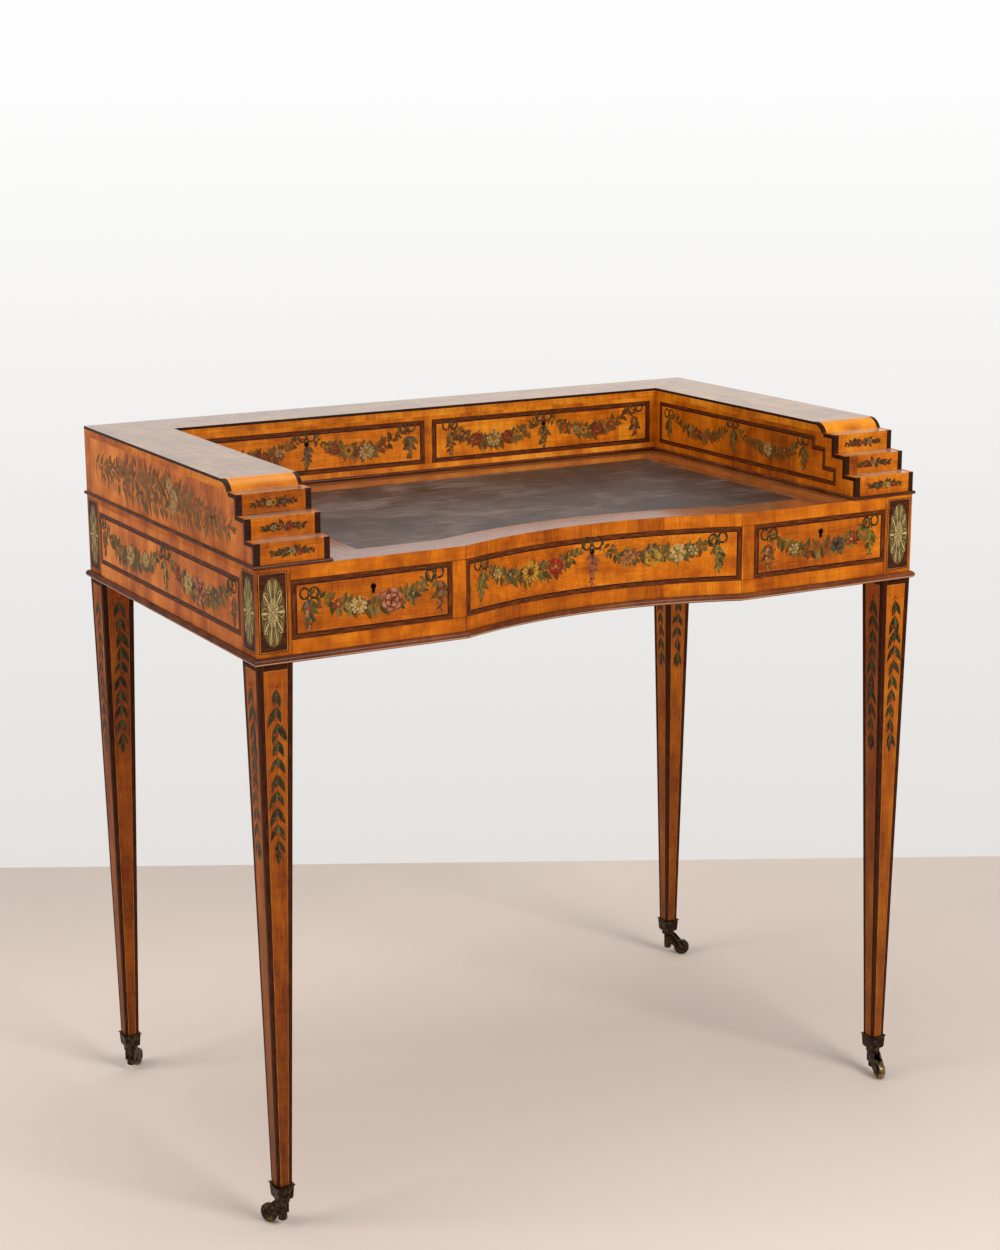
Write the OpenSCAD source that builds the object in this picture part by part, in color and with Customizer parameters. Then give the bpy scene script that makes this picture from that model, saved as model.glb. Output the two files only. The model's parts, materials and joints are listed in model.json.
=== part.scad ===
// Carlton house writing desk on four tapered legs with casters.
// Millimetres, +Z up, front towards -Y. The origin is on the floor under the middle of the case.

/* [Case] */
// Width of the case over its veneered sides
case_w = 900; // [800:10:1100]
// Depth of the case from front to back
case_d = 538; // [480:2:640]
// Height of the writing surface above the floor
writing_z = 790; // [740:1:820]
// Height of the case from its underside to the writing surface
case_h = 108; // [96:1:130]
// Thickness of the writing board
board_t = 8; // [6:0.5:12]
// Thickness of the side and back rails
rail_t = 18; // [12:1:24]
// Depth of the front rails where the front is straight
front_rail_d = 22; // [21:1:30]
// Height of the rail above the case drawers
top_rail_h = 7.5; // [5:0.5:10]
// Height of the rail below the case drawers
bottom_rail_h = 25; // [20:1:30]
// Thickness of the upright between two case drawers
partition_t = 17.5; // [12:0.5:24]
// Width of the strips that the drawers run on
runner_w = 12; // [10:1:16]
// Height of the strips that the drawers run on
runner_h = 10; // [6:1:16]

/* [Hollow front] */
// Width of the hollow middle of the front
hollow_w = 381; // [320:1:420]
// Depth of the hollow at its middle
hollow_depth = 38; // [20:1:50]
// Least thickness of the wood behind the hollow
hollow_web = 20; // [18:1:26]
// Distance that the front rails reach behind the middle drawer's front
rail_behind = 2; // [1:0.5:6]

/* [Writing surface] */
// Wood border in front of the leather
border_front = 46; // [30:1:60]
// Wood border beside the leather
border_side = 54; // [30:1:70]
// Wood border behind the leather
border_back = 58; // [30:1:70]
// Thickness of the leather
leather_t = 1.2; // [0.8:0.1:2]

/* [Legs] */
// Width of the square leg where it meets the case
leg_w = 42; // [36:1:50]
// Width of the leg just above its brass cup
ankle_w = 18; // [15:0.5:24]
// Distance that the foot of each leg stands outside the top's middle
foot_out = 2.8; // [0:0.2:5]
// Step in each side of the leg where it enters its cup
tip_step = 0.5; // [0.4:0.1:1]

/* [Casters] */
// Height of the cup's rim above the floor
rim_z = 55; // [50:0.5:64]
// Distance that the cup's rim stands out round the leg
rim_out = 3.25; // [2.5:0.25:5]
// Height of the flare at the cup's rim
flare_h = 1.8; // [1:0.2:3]
// Distance that the flare stands out
flare_out = 1.4; // [0.6:0.2:1.6]
// Distance that the cup narrows from its rim to its floor on each side
cup_taper = 2.25; // [2:0.25:4]
// Depth of the cup's inside
cup_deep = 15.5; // [12:0.5:17]
// Thickness of the cup's floor
cup_floor_t = 2.5; // [2:0.5:4]
// Distance that the cup's floor narrows downwards on each side
floor_taper = 1; // [0.5:0.25:2]
// Distance between the cup's outside and the leg's tip
cup_wall = 1.4; // [1:0.1:2]
// Radius of the round collar under the cup
collar_r = 9; // [7:0.5:11]
// Height of the round collar
collar_h = 4.8; // [3:0.2:6]
// Radius of the pin that the fork turns on
stem_r = 2.5; // [2:0.1:3]
// Radius of the fork's barrel
barrel_r = 5.4; // [4:0.1:6]
// Height of the barrel's lower end above the floor
barrel_z = 10; // [8:0.5:13]
// Radius of the rivet that holds the fork on its pin
rivet_r = 3.6; // [3:0.1:4]
// Thickness of that rivet
rivet_t = 1.2; // [0.8:0.1:2]
// Thickness of the fork's plate
plate_t = 4.2; // [3:0.2:6]
// Distance that the fork's plate reaches behind the pin
plate_back = 4.6; // [3.5:0.1:5]
// Distance that the fork's plate reaches in front of the pin
plate_front = 9; // [7:0.2:10]
// Distance from the pin to the wheel's axle
trail = 21; // [19:0.5:24]
// Radius of the wheel
wheel_r = 11.5; // [10:0.5:13]
// Width of the wheel
wheel_w = 8; // [6:0.5:9]
// Thickness of each cheek of the fork
cheek_t = 2; // [1.5:0.1:3]
// Radius of the cheek's round end
cheek_r = 5.2; // [4:0.1:6]
// Angle of the cheek's edges where they meet its round end
cheek_angle = 38; // [30:1:50]
// Height of the cheek's lower edge beside the barrel
cheek_z = 17; // [15:0.5:20]
// Radius of the wheel's axle
axle_r = 1.6; // [1.2:0.1:2]
// Distance that the axle stands out of the cheeks
axle_end = 0.3; // [0.1:0.1:1]
// Width of the raised hub in the wheel's side
wheel_hub = 2; // [1:0.25:2.5]
// Width of the raised rim in the wheel's side
wheel_rim = 2.5; // [2:0.25:3]
// Depth of the dish between hub and rim
wheel_dish = 0.8; // [0.4:0.1:1]
// Chamfer of the wheel's tread
wheel_chamfer = 1.2; // [0.6:0.1:1.4]
// Height of the tread's crown
wheel_crown = 0.3; // [0.2:0.05:0.5]

/* [Mouldings] */
// Height of the bead round the foot of the case
base_h = 9; // [6:0.5:12]
// Distance that the base bead stands out
base_out = 5; // [4:0.5:7]
// Height of the moulding under the gallery
waist_h = 4.5; // [3:0.5:8]
// Distance that the waist moulding stands out
waist_out = 3; // [2:0.5:5]

/* [Gallery] */
// Height of the gallery's top above the writing surface
gallery_h = 87.5; // [80:0.5:110]
// Depth of the gallery along the back
gallery_d = 79.5; // [70:0.5:110]
// Width of each side wing of the gallery
wing_w = 90; // [80:1:120]
// Thickness of the gallery's panels
panel_t = 7; // [5:0.5:10]
// Thickness of the gallery's top boards
gallery_top_t = 12; // [8:0.5:14]
// Radius of the rounded front end of the wing's top board
roll_r = 20; // [16:0.5:24]
// Height of the rail above the gallery drawers
gallery_rail_h = 5; // [4.5:0.5:8]
// Distance that this rail reaches behind the drawers' fronts
gallery_rail_in = 6; // [4:0.5:12]
// Height of the board below the gallery drawers
gallery_base_h = 7; // [5:0.5:10]
// Thickness of the upright between the gallery drawers
gallery_partition_t = 11; // [8:0.5:16]
// Thickness of the uprights at the gallery's inner corners
stile_t = 10; // [6:0.5:16]
// Height of the lowest step of the wing
step_1_h = 24; // [20:0.5:28]
// Height of the second step of the wing
step_2_h = 23.5; // [20:0.5:28]
// Depth of each step of the wing
tread = 23; // [18:0.5:30]
// Thickness of the boards that the steps are made of
step_board_t = 5; // [4:0.5:7]

/* [Drawers] */
// Thickness of the case drawers' fronts
front_t = 20; // [18:0.5:21]
// Thickness of the gallery drawers' fronts
small_front_t = 12; // [10:0.5:16]
// Length of the case drawers from front to back
drawer_l = 440; // [380:5:460]
// Gap behind the gallery drawers when they are shut
small_back_gap = 4; // [2:0.5:10]
// Thickness of the case drawers' sides and backs
side_t = 8; // [6:0.5:10]
// Thickness of the gallery drawers' sides and backs
small_side_t = 5; // [4:0.5:7]
// Distance from a drawer's top edge down to the top of its sides
side_drop = 9; // [5:0.5:14]
// Thickness of the drawers' bottoms
bottom_t = 3.5; // [3:0.5:5]
// Height of a drawer's bottom above its lower edge
bottom_up = 4; // [3:0.5:8]

/* [Locks] */
// Width of a lock's case
lock_w = 40; // [30:1:50]
// Height of a lock's case
lock_h = 32; // [28:1:36]
// Thickness of a lock's case
lock_t = 7; // [6:0.5:7.5]
// Distance from a drawer's top edge down to its keyhole
keyhole_drop = 17.5; // [17:0.5:20]
// Radius of the keyhole's round part
keyhole_r = 2.6; // [2.3:0.1:3]
// Width of the keyhole's slot
keyhole_slot_w = 2.2; // [1.6:0.1:2.4]
// Length of the keyhole's slot below the round part's middle
keyhole_slot_l = 7; // [5:0.5:9]
// Depth of the key's hole in the lock's case
key_depth = 4; // [2:0.5:5]
// Width of a lock's bolt
bolt_w = 16; // [10:1:20]
// Thickness of a lock's bolt
bolt_t = 3.2; // [2:0.2:3.4]
// Height of a lock's bolt
bolt_h = 12; // [10:0.5:13]
// Distance that a lock's bolt rises
bolt_travel = 3.5; // [2.5:0.1:3.5]

/* [Clearances] */
// Gap round a drawer's front
reveal = 0.6; // [0.4:0.1:1]
// Gap under a drawer on its runners
run_gap = 0.3; // [0.2:0.05:0.5]
// Glue line between two pieces of one group
glue = 0.1; // [0.05:0.05:0.2]
// Gap between the bead in the hollow and the rail behind it
bead_gap = 0.3; // [0.2:0.05:0.5]
// Gap round the leather in its recess
leather_gap = 0.3; // [0.2:0.05:0.5]
// Gap between a leg's tip and its cup
tip_gap = 0.2; // [0.1:0.05:0.4]
// Running gap between a pin and its bore
pin_gap = 0.05; // [0.02:0.01:0.08]
// Gap between the wheel and each cheek
wheel_gap = 0.3; // [0.2:0.05:0.6]
// Gap between the collar and the fork
swivel_gap = 0.3; // [0.2:0.05:0.5]
// Gap round a bolt in its slot
bolt_gap = 0.2; // [0.1:0.05:0.3]
// Gap round a raised bolt in the rail above
mortise_gap = 0.5; // [0.3:0.1:0.6]

/* [Hidden] */
SATINWOOD = "#d98b3a";
SIDE_VENEER = "#c67c45";
ROSEWOOD = "#54301f";
CARCASS = "#b98a58";
LEATHER = "#4b4542";
DARK_BRASS = "#3d3227";
WHEEL_BRASS = "#9c7c46";
LOCK_BRASS = "#a98a4c";

ARC_FN = 240;
ROUND_FN = 72;
cut = 1;
skin = 0.01;
spare_angle = 1;

half_w = case_w / 2;
half_d = case_d / 2;
front_y = -half_d;
foot_z = writing_z - case_h;
board_z = writing_z - board_t;
opening_z = foot_z + bottom_rail_h;
opening_top = board_z - top_rail_h;
post_in = half_w - leg_w;
rail_back_y = half_d - rail_t;

hollow_x = hollow_w / 2;
hollow_r = (hollow_x * hollow_x + hollow_depth * hollow_depth) / (2 * hollow_depth);
hollow_y = front_y + hollow_depth - hollow_r;
hollow_angle = asin(hollow_x / hollow_r);
hollow_back_y = front_y + hollow_depth + hollow_web;
partition_x = hollow_x + partition_t;
deep_x = partition_x + runner_w;
deep_y = hollow_back_y + rail_behind;

wing_in = half_w - wing_w;
gallery_y = half_d - gallery_d;
gallery_z = writing_z + waist_h;
gallery_top = writing_z + gallery_h;
gallery_board_z = gallery_top - gallery_top_t;
small_z = gallery_z + gallery_base_h;
small_top = gallery_board_z - gallery_rail_h;
gallery_rail_d = small_front_t + gallery_rail_in;
panel_back_y = half_d - panel_t;
step_z = [gallery_z, gallery_z + step_1_h, gallery_z + step_1_h + step_2_h, gallery_board_z];
roll_y = front_y + 3 * tread;
roll_drop = roll_r - gallery_top_t;
roll_run = sqrt(roll_r * roll_r - roll_drop * roll_drop);

post_x = half_w - leg_w / 2;
post_y = half_d - leg_w / 2;
caster_x = post_x + foot_out;
caster_y = post_y + foot_out;
axle_z = wheel_r;
rim_w = ankle_w + 2 * rim_out;
cup_top_w = rim_w - 2 * flare_out;
cup_low_w = rim_w - 2 * cup_taper;
cup_floor_z = rim_z - cup_deep;
collar_top = cup_floor_z - cup_floor_t;
collar_z = collar_top - collar_h;
fork_top = collar_z - swivel_gap;
tip_w = cup_low_w - 2 * cup_wall - 2 * tip_gap;
inside_w = ankle_w - 2 * tip_step;
cheek_in = wheel_w / 2 + wheel_gap;
cheek_out = cheek_in + cheek_t;
axle_l = 2 * cheek_out + 2 * axle_end;

drawer_back_y = front_y + drawer_l;
front_back_y = front_y + front_t;
small_back_y = gallery_y + small_front_t;
small_end_y = panel_back_y - small_back_gap;
small_drawer_in = gallery_partition_t / 2;
small_drawer_out = wing_in - stile_t;
side_lock_x = (partition_x + post_in) / 2;
small_lock_x = (small_drawer_in + small_drawer_out) / 2;

LEGS = [[-1, -1, 114], [1, -1, -102], [1, 1, -42], [-1, 1, 48]];

// A box from its lowest corner to its highest corner
module block(low, high) {
    translate(low)
        cube([high[0] - low[0], high[1] - low[1], high[2] - low[2]]);
}

// A flat square plate about the Z axis, for the tapered forms
module plate(width, z) {
    translate([-width / 2, -width / 2, z])
        cube([width, width, skin]);
}

// A square tapered stretch between two widths, whose lower end stands aside by shift
module taper(low_w, low_z, high_w, high_z, shift = [0, 0]) {
    hull() {
        translate([shift[0], shift[1], 0])
            plate(low_w, low_z);
        plate(high_w, high_z - skin);
    }
}

// Legs: a square post inside the case and a tapered leg below it

module leg(side, depth) {
    color(SATINWOOD)
        translate([side * post_x, depth * post_y, 0]) {
            translate([-leg_w / 2, -leg_w / 2, foot_z])
                cube([leg_w, leg_w, case_h - board_t]);
            taper(ankle_w, rim_z, leg_w, foot_z, [side * foot_out, depth * foot_out]);
            translate([side * foot_out, depth * foot_out, 0])
                taper(tip_w, cup_floor_z, inside_w, rim_z);
        }
}

// Casters: a brass cup with its stem, a fork that turns on the stem, and a wheel on an axle

module at_caster(i) {
    translate([LEGS[i][0] * caster_x, LEGS[i][1] * caster_y, 0])
        rotate([0, 0, LEGS[i][2]])
            children();
}

module caster_cup(i) {
    color(DARK_BRASS)
        translate([LEGS[i][0] * caster_x, LEGS[i][1] * caster_y, 0]) {
            difference() {
                union() {
                    taper(cup_top_w, rim_z - flare_h, rim_w, rim_z);
                    taper(cup_low_w, cup_floor_z, cup_top_w, rim_z - flare_h);
                    taper(cup_low_w - 2 * floor_taper, collar_top, cup_low_w, cup_floor_z);
                }
                taper(tip_w + 2 * tip_gap, cup_floor_z, inside_w + 2 * tip_gap, rim_z + skin);
            }
            translate([0, 0, collar_z])
                cylinder(r = collar_r, h = collar_h, $fn = ROUND_FN);
            translate([0, 0, barrel_z - rivet_t])
                cylinder(r = stem_r, h = collar_z - barrel_z + rivet_t, $fn = ROUND_FN);
            translate([0, 0, barrel_z - rivet_t - swivel_gap])
                cylinder(r = rivet_r, h = rivet_t, $fn = ROUND_FN);
        }
}

module cheek_outline() {
    edge_x = cheek_r * cos(cheek_angle);
    edge_z = cheek_r * sin(cheek_angle);
    polygon([
        [-plate_back, fork_top], [plate_front, fork_top], [trail + edge_x, axle_z + edge_z],
        [trail, axle_z], [trail - edge_x, axle_z - edge_z], [plate_back, cheek_z], [-plate_back, cheek_z]
    ]);
    translate([trail, axle_z])
        circle(r = cheek_r, $fn = ROUND_FN);
}

module cheek(y) {
    translate([0, y + cheek_t, 0])
        rotate([90, 0, 0])
            linear_extrude(cheek_t)
                cheek_outline();
}

module caster_fork(i) {
    at_caster(i) {
        color(DARK_BRASS)
            difference() {
                union() {
                    translate([0, 0, barrel_z])
                        cylinder(r = barrel_r, h = fork_top - barrel_z, $fn = ROUND_FN);
                    block(
                        [-plate_back, -cheek_out, fork_top - plate_t],
                        [plate_front, cheek_out, fork_top]
                    );
                    cheek(cheek_in);
                    cheek(-cheek_out);
                }
                translate([0, 0, barrel_z - cut])
                    cylinder(r = stem_r + pin_gap, h = fork_top - barrel_z + 2 * cut, $fn = ROUND_FN);
                translate([trail, cheek_out + cut, axle_z])
                    rotate([90, 0, 0])
                        cylinder(r = axle_r + pin_gap, h = 2 * cheek_out + 2 * cut, $fn = ROUND_FN);
            }
        color(WHEEL_BRASS)
            translate([trail, axle_l / 2, axle_z])
                rotate([90, 0, 0])
                    cylinder(r = axle_r, h = axle_l, $fn = ROUND_FN);
    }
}

module caster_wheel(i) {
    bore = axle_r + pin_gap;
    edge = wheel_w / 2;
    dish_edge = edge - wheel_dish;
    hub_r = bore + wheel_hub;
    rim_r = wheel_r - wheel_rim;
    tread_edge = edge - wheel_chamfer;
    color(WHEEL_BRASS)
        at_caster(i)
            translate([trail, 0, axle_z])
                rotate([90, 0, 0])
                    rotate_extrude($fn = 2 * ROUND_FN)
                        polygon([
                            [bore, -edge], [hub_r, -edge], [hub_r + wheel_dish, -dish_edge],
                            [rim_r - wheel_dish, -dish_edge], [rim_r, -edge],
                            [wheel_r - wheel_chamfer, -edge], [wheel_r - wheel_crown, -tread_edge],
                            [wheel_r, 0], [wheel_r - wheel_crown, tread_edge],
                            [wheel_r - wheel_chamfer, edge], [rim_r, edge],
                            [rim_r - wheel_dish, dish_edge], [hub_r + wheel_dish, dish_edge],
                            [hub_r, edge], [bore, edge]
                        ]);
}

// Case frame: rails, partitions and the strips that the drawers run on

module side_rail(side) {
    low_x = side > 0 ? half_w - rail_t : -half_w;
    color(SIDE_VENEER)
        block([low_x, -half_d + leg_w, foot_z], [low_x + rail_t, half_d - leg_w, board_z]);
}

module back_rail() {
    color(SIDE_VENEER)
        block([-post_in, rail_back_y, foot_z], [post_in, half_d, board_z]);
}

module hollow_round(grow = 0) {
    translate([0, hollow_y])
        circle(r = hollow_r + grow, $fn = ARC_FN);
}

module front_rail_plan() {
    difference() {
        union() {
            translate([-post_in, front_y])
                square([2 * post_in, front_rail_d]);
            translate([-deep_x, front_y])
                square([2 * deep_x, deep_y - front_y]);
        }
        hollow_round();
    }
}

module bolt_mortise(x, back_y, z) {
    gap = mortise_gap / 2;
    middle_y = back_y - lock_t / 2;
    block(
        [x - bolt_w / 2 - gap, middle_y - bolt_t / 2 - gap, z - cut],
        [x + bolt_w / 2 + gap, middle_y + bolt_t / 2 + gap, z + bolt_travel + mortise_gap]
    );
}

module front_top_rail() {
    color(SATINWOOD)
        difference() {
            translate([0, 0, opening_top])
                linear_extrude(top_rail_h)
                    front_rail_plan();
            for (x = [-side_lock_x, side_lock_x])
                bolt_mortise(x, front_back_y, opening_top);
            bolt_mortise(0, hollow_back_y, opening_top);
        }
}

module front_bottom_rail() {
    color(SATINWOOD)
        translate([0, 0, foot_z])
            linear_extrude(bottom_rail_h)
                front_rail_plan();
}

module drawer_partitions() {
    color(SATINWOOD)
        for (low_x = [-partition_x, hollow_x])
            block([low_x, front_y, opening_z], [low_x + partition_t, rail_back_y, opening_top]);
}

module drawer_runners() {
    straight_y = front_y + front_rail_d;
    color(CARCASS)
        for (level = [[opening_z - runner_h, opening_z], [opening_top, board_z]]) {
            for (low_x = [-post_in, post_in - runner_w])
                block([low_x, straight_y, level[0]], [low_x + runner_w, rail_back_y, level[1]]);
            for (low_x = [-deep_x, hollow_x - runner_w])
                block(
                    [low_x, deep_y, level[0]],
                    [low_x + partition_t + 2 * runner_w, rail_back_y, level[1]]
                );
        }
    color(CARCASS)
        for (low_x = [-half_w + rail_t, post_in])
            block(
                [low_x, -half_d + leg_w, opening_z],
                [low_x + leg_w - rail_t, half_d - leg_w, opening_z + runner_w]
            );
}

// Mouldings: a strip with a half-round nose, mitred at both ends
// Along +X, its nose towards -Y. A slope of 1 is an outer corner, -1 an inner corner.

module nose_profile(height, out, back) {
    intersection() {
        translate([-back, 0])
            square([back + out, height]);
        union() {
            translate([-back - height, 0])
                square([back + out + height / 2, height]);
            translate([out - height / 2, height / 2])
                circle(r = height / 2, $fn = ROUND_FN);
        }
    }
}

module moulding_run(length, height, out, back, start_slope, end_slope) {
    intersection() {
        translate([-2 * out, 0, 0])
            rotate([90, 0, 90])
                linear_extrude(length + 4 * out)
                    mirror([1, 0])
                        nose_profile(height, out, back);
        linear_extrude(height)
            polygon([
                [-out * start_slope + glue / 2, -out],
                [length + out * end_slope - glue / 2, -out],
                [length - back * end_slope - glue / 2, back],
                [back * start_slope + glue / 2, back]
            ]);
    }
}

module place_run(x, y, z, turn) {
    translate([x, y, z])
        rotate([0, 0, turn])
            children();
}

module base_run(length, start_slope, end_slope) {
    moulding_run(length, base_h, base_out, 0, start_slope, end_slope);
}

module hollow_bead() {
    lean = tan(hollow_angle / 2);
    reach = hollow_depth + base_out;
    intersection() {
        translate([0, hollow_y, foot_z])
            rotate([0, 0, 90 - hollow_angle - spare_angle])
                rotate_extrude(angle = 2 * (hollow_angle + spare_angle), $fn = ARC_FN)
                    translate([hollow_r - bead_gap, 0])
                        mirror([1, 0])
                            nose_profile(base_h, base_out, 0);
        translate([0, front_y, foot_z])
            linear_extrude(base_h)
                polygon([
                    [-hollow_x + lean * base_out + glue / 2, -base_out],
                    [hollow_x - lean * base_out - glue / 2, -base_out],
                    [hollow_x + lean * reach - glue / 2, reach],
                    [-hollow_x - lean * reach + glue / 2, reach]
                ]);
    }
}

module base_moulding() {
    lean = tan(hollow_angle / 2);
    straight = half_w - hollow_x;
    color(ROSEWOOD) {
        place_run(-half_w, front_y, foot_z, 0)
            base_run(straight, 1, lean);
        place_run(hollow_x, front_y, foot_z, 0)
            base_run(straight, lean, 1);
        hollow_bead();
        place_run(half_w, front_y, foot_z, 90)
            base_run(case_d, 1, 1);
        place_run(half_w, half_d, foot_z, 180)
            base_run(case_w, 1, 1);
        place_run(-half_w, half_d, foot_z, -90)
            base_run(case_d, 1, 1);
    }
}

module waist_run(length, start_slope, end_slope) {
    moulding_run(length, waist_h, waist_out, panel_t + waist_out, start_slope, end_slope);
}

module waist_moulding() {
    inner_l = gallery_y - front_y;
    color(ROSEWOOD) {
        for (x = [-half_w, wing_in])
            place_run(x, front_y, writing_z, 0)
                waist_run(wing_w, 1, 1);
        place_run(half_w, front_y, writing_z, 90)
            waist_run(case_d, 1, 1);
        place_run(half_w, half_d, writing_z, 180)
            waist_run(case_w, 1, 1);
        place_run(-half_w, half_d, writing_z, -90)
            waist_run(case_d, 1, 1);
        place_run(-wing_in, front_y, writing_z, 90)
            waist_run(inner_l, 1, -1);
        place_run(-wing_in, gallery_y, writing_z, 0)
            waist_run(2 * wing_in, -1, -1);
        place_run(wing_in, gallery_y, writing_z, -90)
            waist_run(inner_l, -1, 1);
    }
}

// Writing surface: a board hollowed at the front, with leather let into it

module leather_plan(gap = 0) {
    side_x = wing_in - border_side + gap;
    low_y = front_y + border_front - gap;
    high_y = gallery_y - border_back + gap;
    difference() {
        translate([-side_x, low_y])
            square([2 * side_x, high_y - low_y]);
        hollow_round(border_front - gap);
    }
}

module writing_board() {
    color(SATINWOOD)
        difference() {
            translate([0, 0, board_z])
                linear_extrude(board_t)
                    difference() {
                        translate([-half_w, -half_d])
                            square([case_w, case_d]);
                        hollow_round();
                    }
            translate([0, 0, writing_z - leather_t])
                linear_extrude(leather_t + cut)
                    leather_plan(leather_gap);
        }
}

module writing_leather() {
    color(LEATHER)
        translate([0, 0, writing_z - leather_t])
            linear_extrude(leather_t)
                leather_plan();
}

// Gallery: stepped side wings, a row of two drawers along the back, and mitred top boards

module wing_panel(low_x, back_y) {
    color(SIDE_VENEER)
        translate([low_x, 0, 0])
            rotate([90, 0, 90])
                linear_extrude(panel_t)
                    polygon([
                        [front_y, step_z[0]], [front_y, step_z[1]],
                        [front_y + tread, step_z[1]], [front_y + tread, step_z[2]],
                        [front_y + 2 * tread, step_z[2]], [front_y + 2 * tread, step_z[3]],
                        [back_y, step_z[3]], [back_y, step_z[0]]
                    ]);
}

module wing_steps(side) {
    low_x = (side > 0 ? wing_in : -half_w) + panel_t;
    high_x = low_x + wing_w - 2 * panel_t;
    color(SATINWOOD)
        for (i = [0:2]) {
            y = front_y + i * tread;
            top = step_z[i + 1];
            block([low_x, y, step_z[i]], [high_x, y + step_board_t, top - step_board_t - glue]);
            block(
                [low_x, y, top - step_board_t],
                [high_x, y + tread + step_board_t, top - (i < 2 ? glue : 0)]
            );
        }
}

module gallery_back_panel() {
    color(SIDE_VENEER)
        block([-half_w + panel_t, panel_back_y, gallery_z], [half_w - panel_t, half_d, gallery_board_z]);
}

module gallery_base_board() {
    color(SATINWOOD)
        block([-wing_in, gallery_y, gallery_z], [wing_in, panel_back_y, small_z]);
}

module gallery_top_rail() {
    color(SATINWOOD)
        difference() {
            block([-small_drawer_out, gallery_y, small_top],
                [small_drawer_out, gallery_y + gallery_rail_d, gallery_board_z]);
            for (x = [-small_lock_x, small_lock_x])
                bolt_mortise(x, small_back_y, small_top);
        }
}

module gallery_uprights() {
    color(SATINWOOD) {
        block([-wing_in, gallery_y, small_z], [-small_drawer_out, panel_back_y, gallery_board_z]);
        block([small_drawer_out, gallery_y, small_z], [wing_in, panel_back_y, gallery_board_z]);
        block([-small_drawer_in, gallery_y, small_z], [small_drawer_in, panel_back_y, small_top]);
    }
}

module wing_top_side_view() {
    square_y = roll_y + roll_run;
    translate([square_y, gallery_board_z])
        square([half_d - square_y, gallery_top_t]);
    intersection() {
        translate([square_y, gallery_top - roll_r])
            circle(r = roll_r, $fn = 2 * ROUND_FN);
        translate([square_y - 2 * roll_r, gallery_board_z])
            square([2 * roll_r + cut, gallery_top_t]);
    }
}

module wing_top_plan() {
    polygon([
        [half_w, roll_y - cut], [wing_in, roll_y - cut], [wing_in, gallery_y], [half_w, half_d]
    ]);
}

module gallery_top_wing() {
    color(SATINWOOD)
        intersection() {
            translate([wing_in, 0, 0])
                rotate([90, 0, 90])
                    linear_extrude(wing_w)
                        wing_top_side_view();
            translate([0, 0, gallery_board_z - cut])
                linear_extrude(gallery_top_t + 2 * cut)
                    wing_top_plan();
        }
}

module gallery_top_back() {
    color(SATINWOOD)
        translate([0, 0, gallery_board_z])
            linear_extrude(gallery_top_t)
                polygon([
                    [-half_w, half_d], [-wing_in, gallery_y], [wing_in, gallery_y], [half_w, half_d]
                ]);
}

// Drawers: a front with its keyhole and lock recess, and a tray of sides, back and bottom

module keyhole(x, back_y, top_z, length) {
    translate([x, back_y, top_z - keyhole_drop]) {
        rotate([90, 0, 0])
            cylinder(r = keyhole_r, h = length, $fn = ROUND_FN);
        block([-keyhole_slot_w / 2, -length, -keyhole_slot_l], [keyhole_slot_w / 2, 0, 0]);
    }
}

module drawer_front_block(x0, x1, z0, z1, front, back) {
    x = (x0 + x1) / 2;
    low = z0 + run_gap;
    top = z1 - reveal;
    color(SATINWOOD)
        difference() {
            block([x0 + reveal, front, low], [x1 - reveal, back, top]);
            block(
                [x - lock_w / 2, back - lock_t, top - lock_h],
                [x + lock_w / 2, back + cut, top + cut]
            );
            keyhole(x, back, top, back - front + cut);
        }
}

module drawer_tray(x0, x1, z0, z1, front, back, wall) {
    low_x = x0 + reveal;
    high_x = x1 - reveal;
    low = z0 + run_gap;
    top = z1 - reveal - side_drop;
    floor_z = low + bottom_up;
    color(CARCASS) {
        block([low_x, front, low], [low_x + wall, back, top]);
        block([high_x - wall, front, low], [high_x, back, top]);
        block(
            [low_x + wall + glue, back - wall, floor_z + bottom_t + glue],
            [high_x - wall - glue, back, top]
        );
        block([low_x + wall + glue, front, floor_z], [high_x - wall - glue, back, floor_z + bottom_t]);
    }
}

module side_drawer_front(side) {
    x0 = side > 0 ? partition_x : -post_in;
    x1 = side > 0 ? post_in : -partition_x;
    drawer_front_block(x0, x1, opening_z, opening_top, front_y, front_back_y);
}

module side_drawer_tray(side) {
    x0 = side > 0 ? partition_x : -post_in;
    x1 = side > 0 ? post_in : -partition_x;
    drawer_tray(x0, x1, opening_z, opening_top, front_back_y, drawer_back_y, side_t);
}

module drawer_front_centre() {
    difference() {
        drawer_front_block(-hollow_x, hollow_x, opening_z, opening_top, front_y, hollow_back_y);
        translate([0, 0, opening_z])
            linear_extrude(opening_top - opening_z)
                hollow_round();
    }
}

module drawer_tray_centre() {
    drawer_tray(-hollow_x, hollow_x, opening_z, opening_top, hollow_back_y, drawer_back_y, side_t);
}

module small_drawer_front(side) {
    x0 = side > 0 ? small_drawer_in : -small_drawer_out;
    x1 = side > 0 ? small_drawer_out : -small_drawer_in;
    drawer_front_block(x0, x1, small_z, small_top, gallery_y, small_back_y);
}

module small_drawer_tray(side) {
    x0 = side > 0 ? small_drawer_in : -small_drawer_out;
    x1 = side > 0 ? small_drawer_out : -small_drawer_in;
    drawer_tray(x0, x1, small_z, small_top, small_back_y, small_end_y, small_side_t);
}

// Locks: a brass case let into the back of each drawer front, with a bolt that rises into the rail

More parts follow.
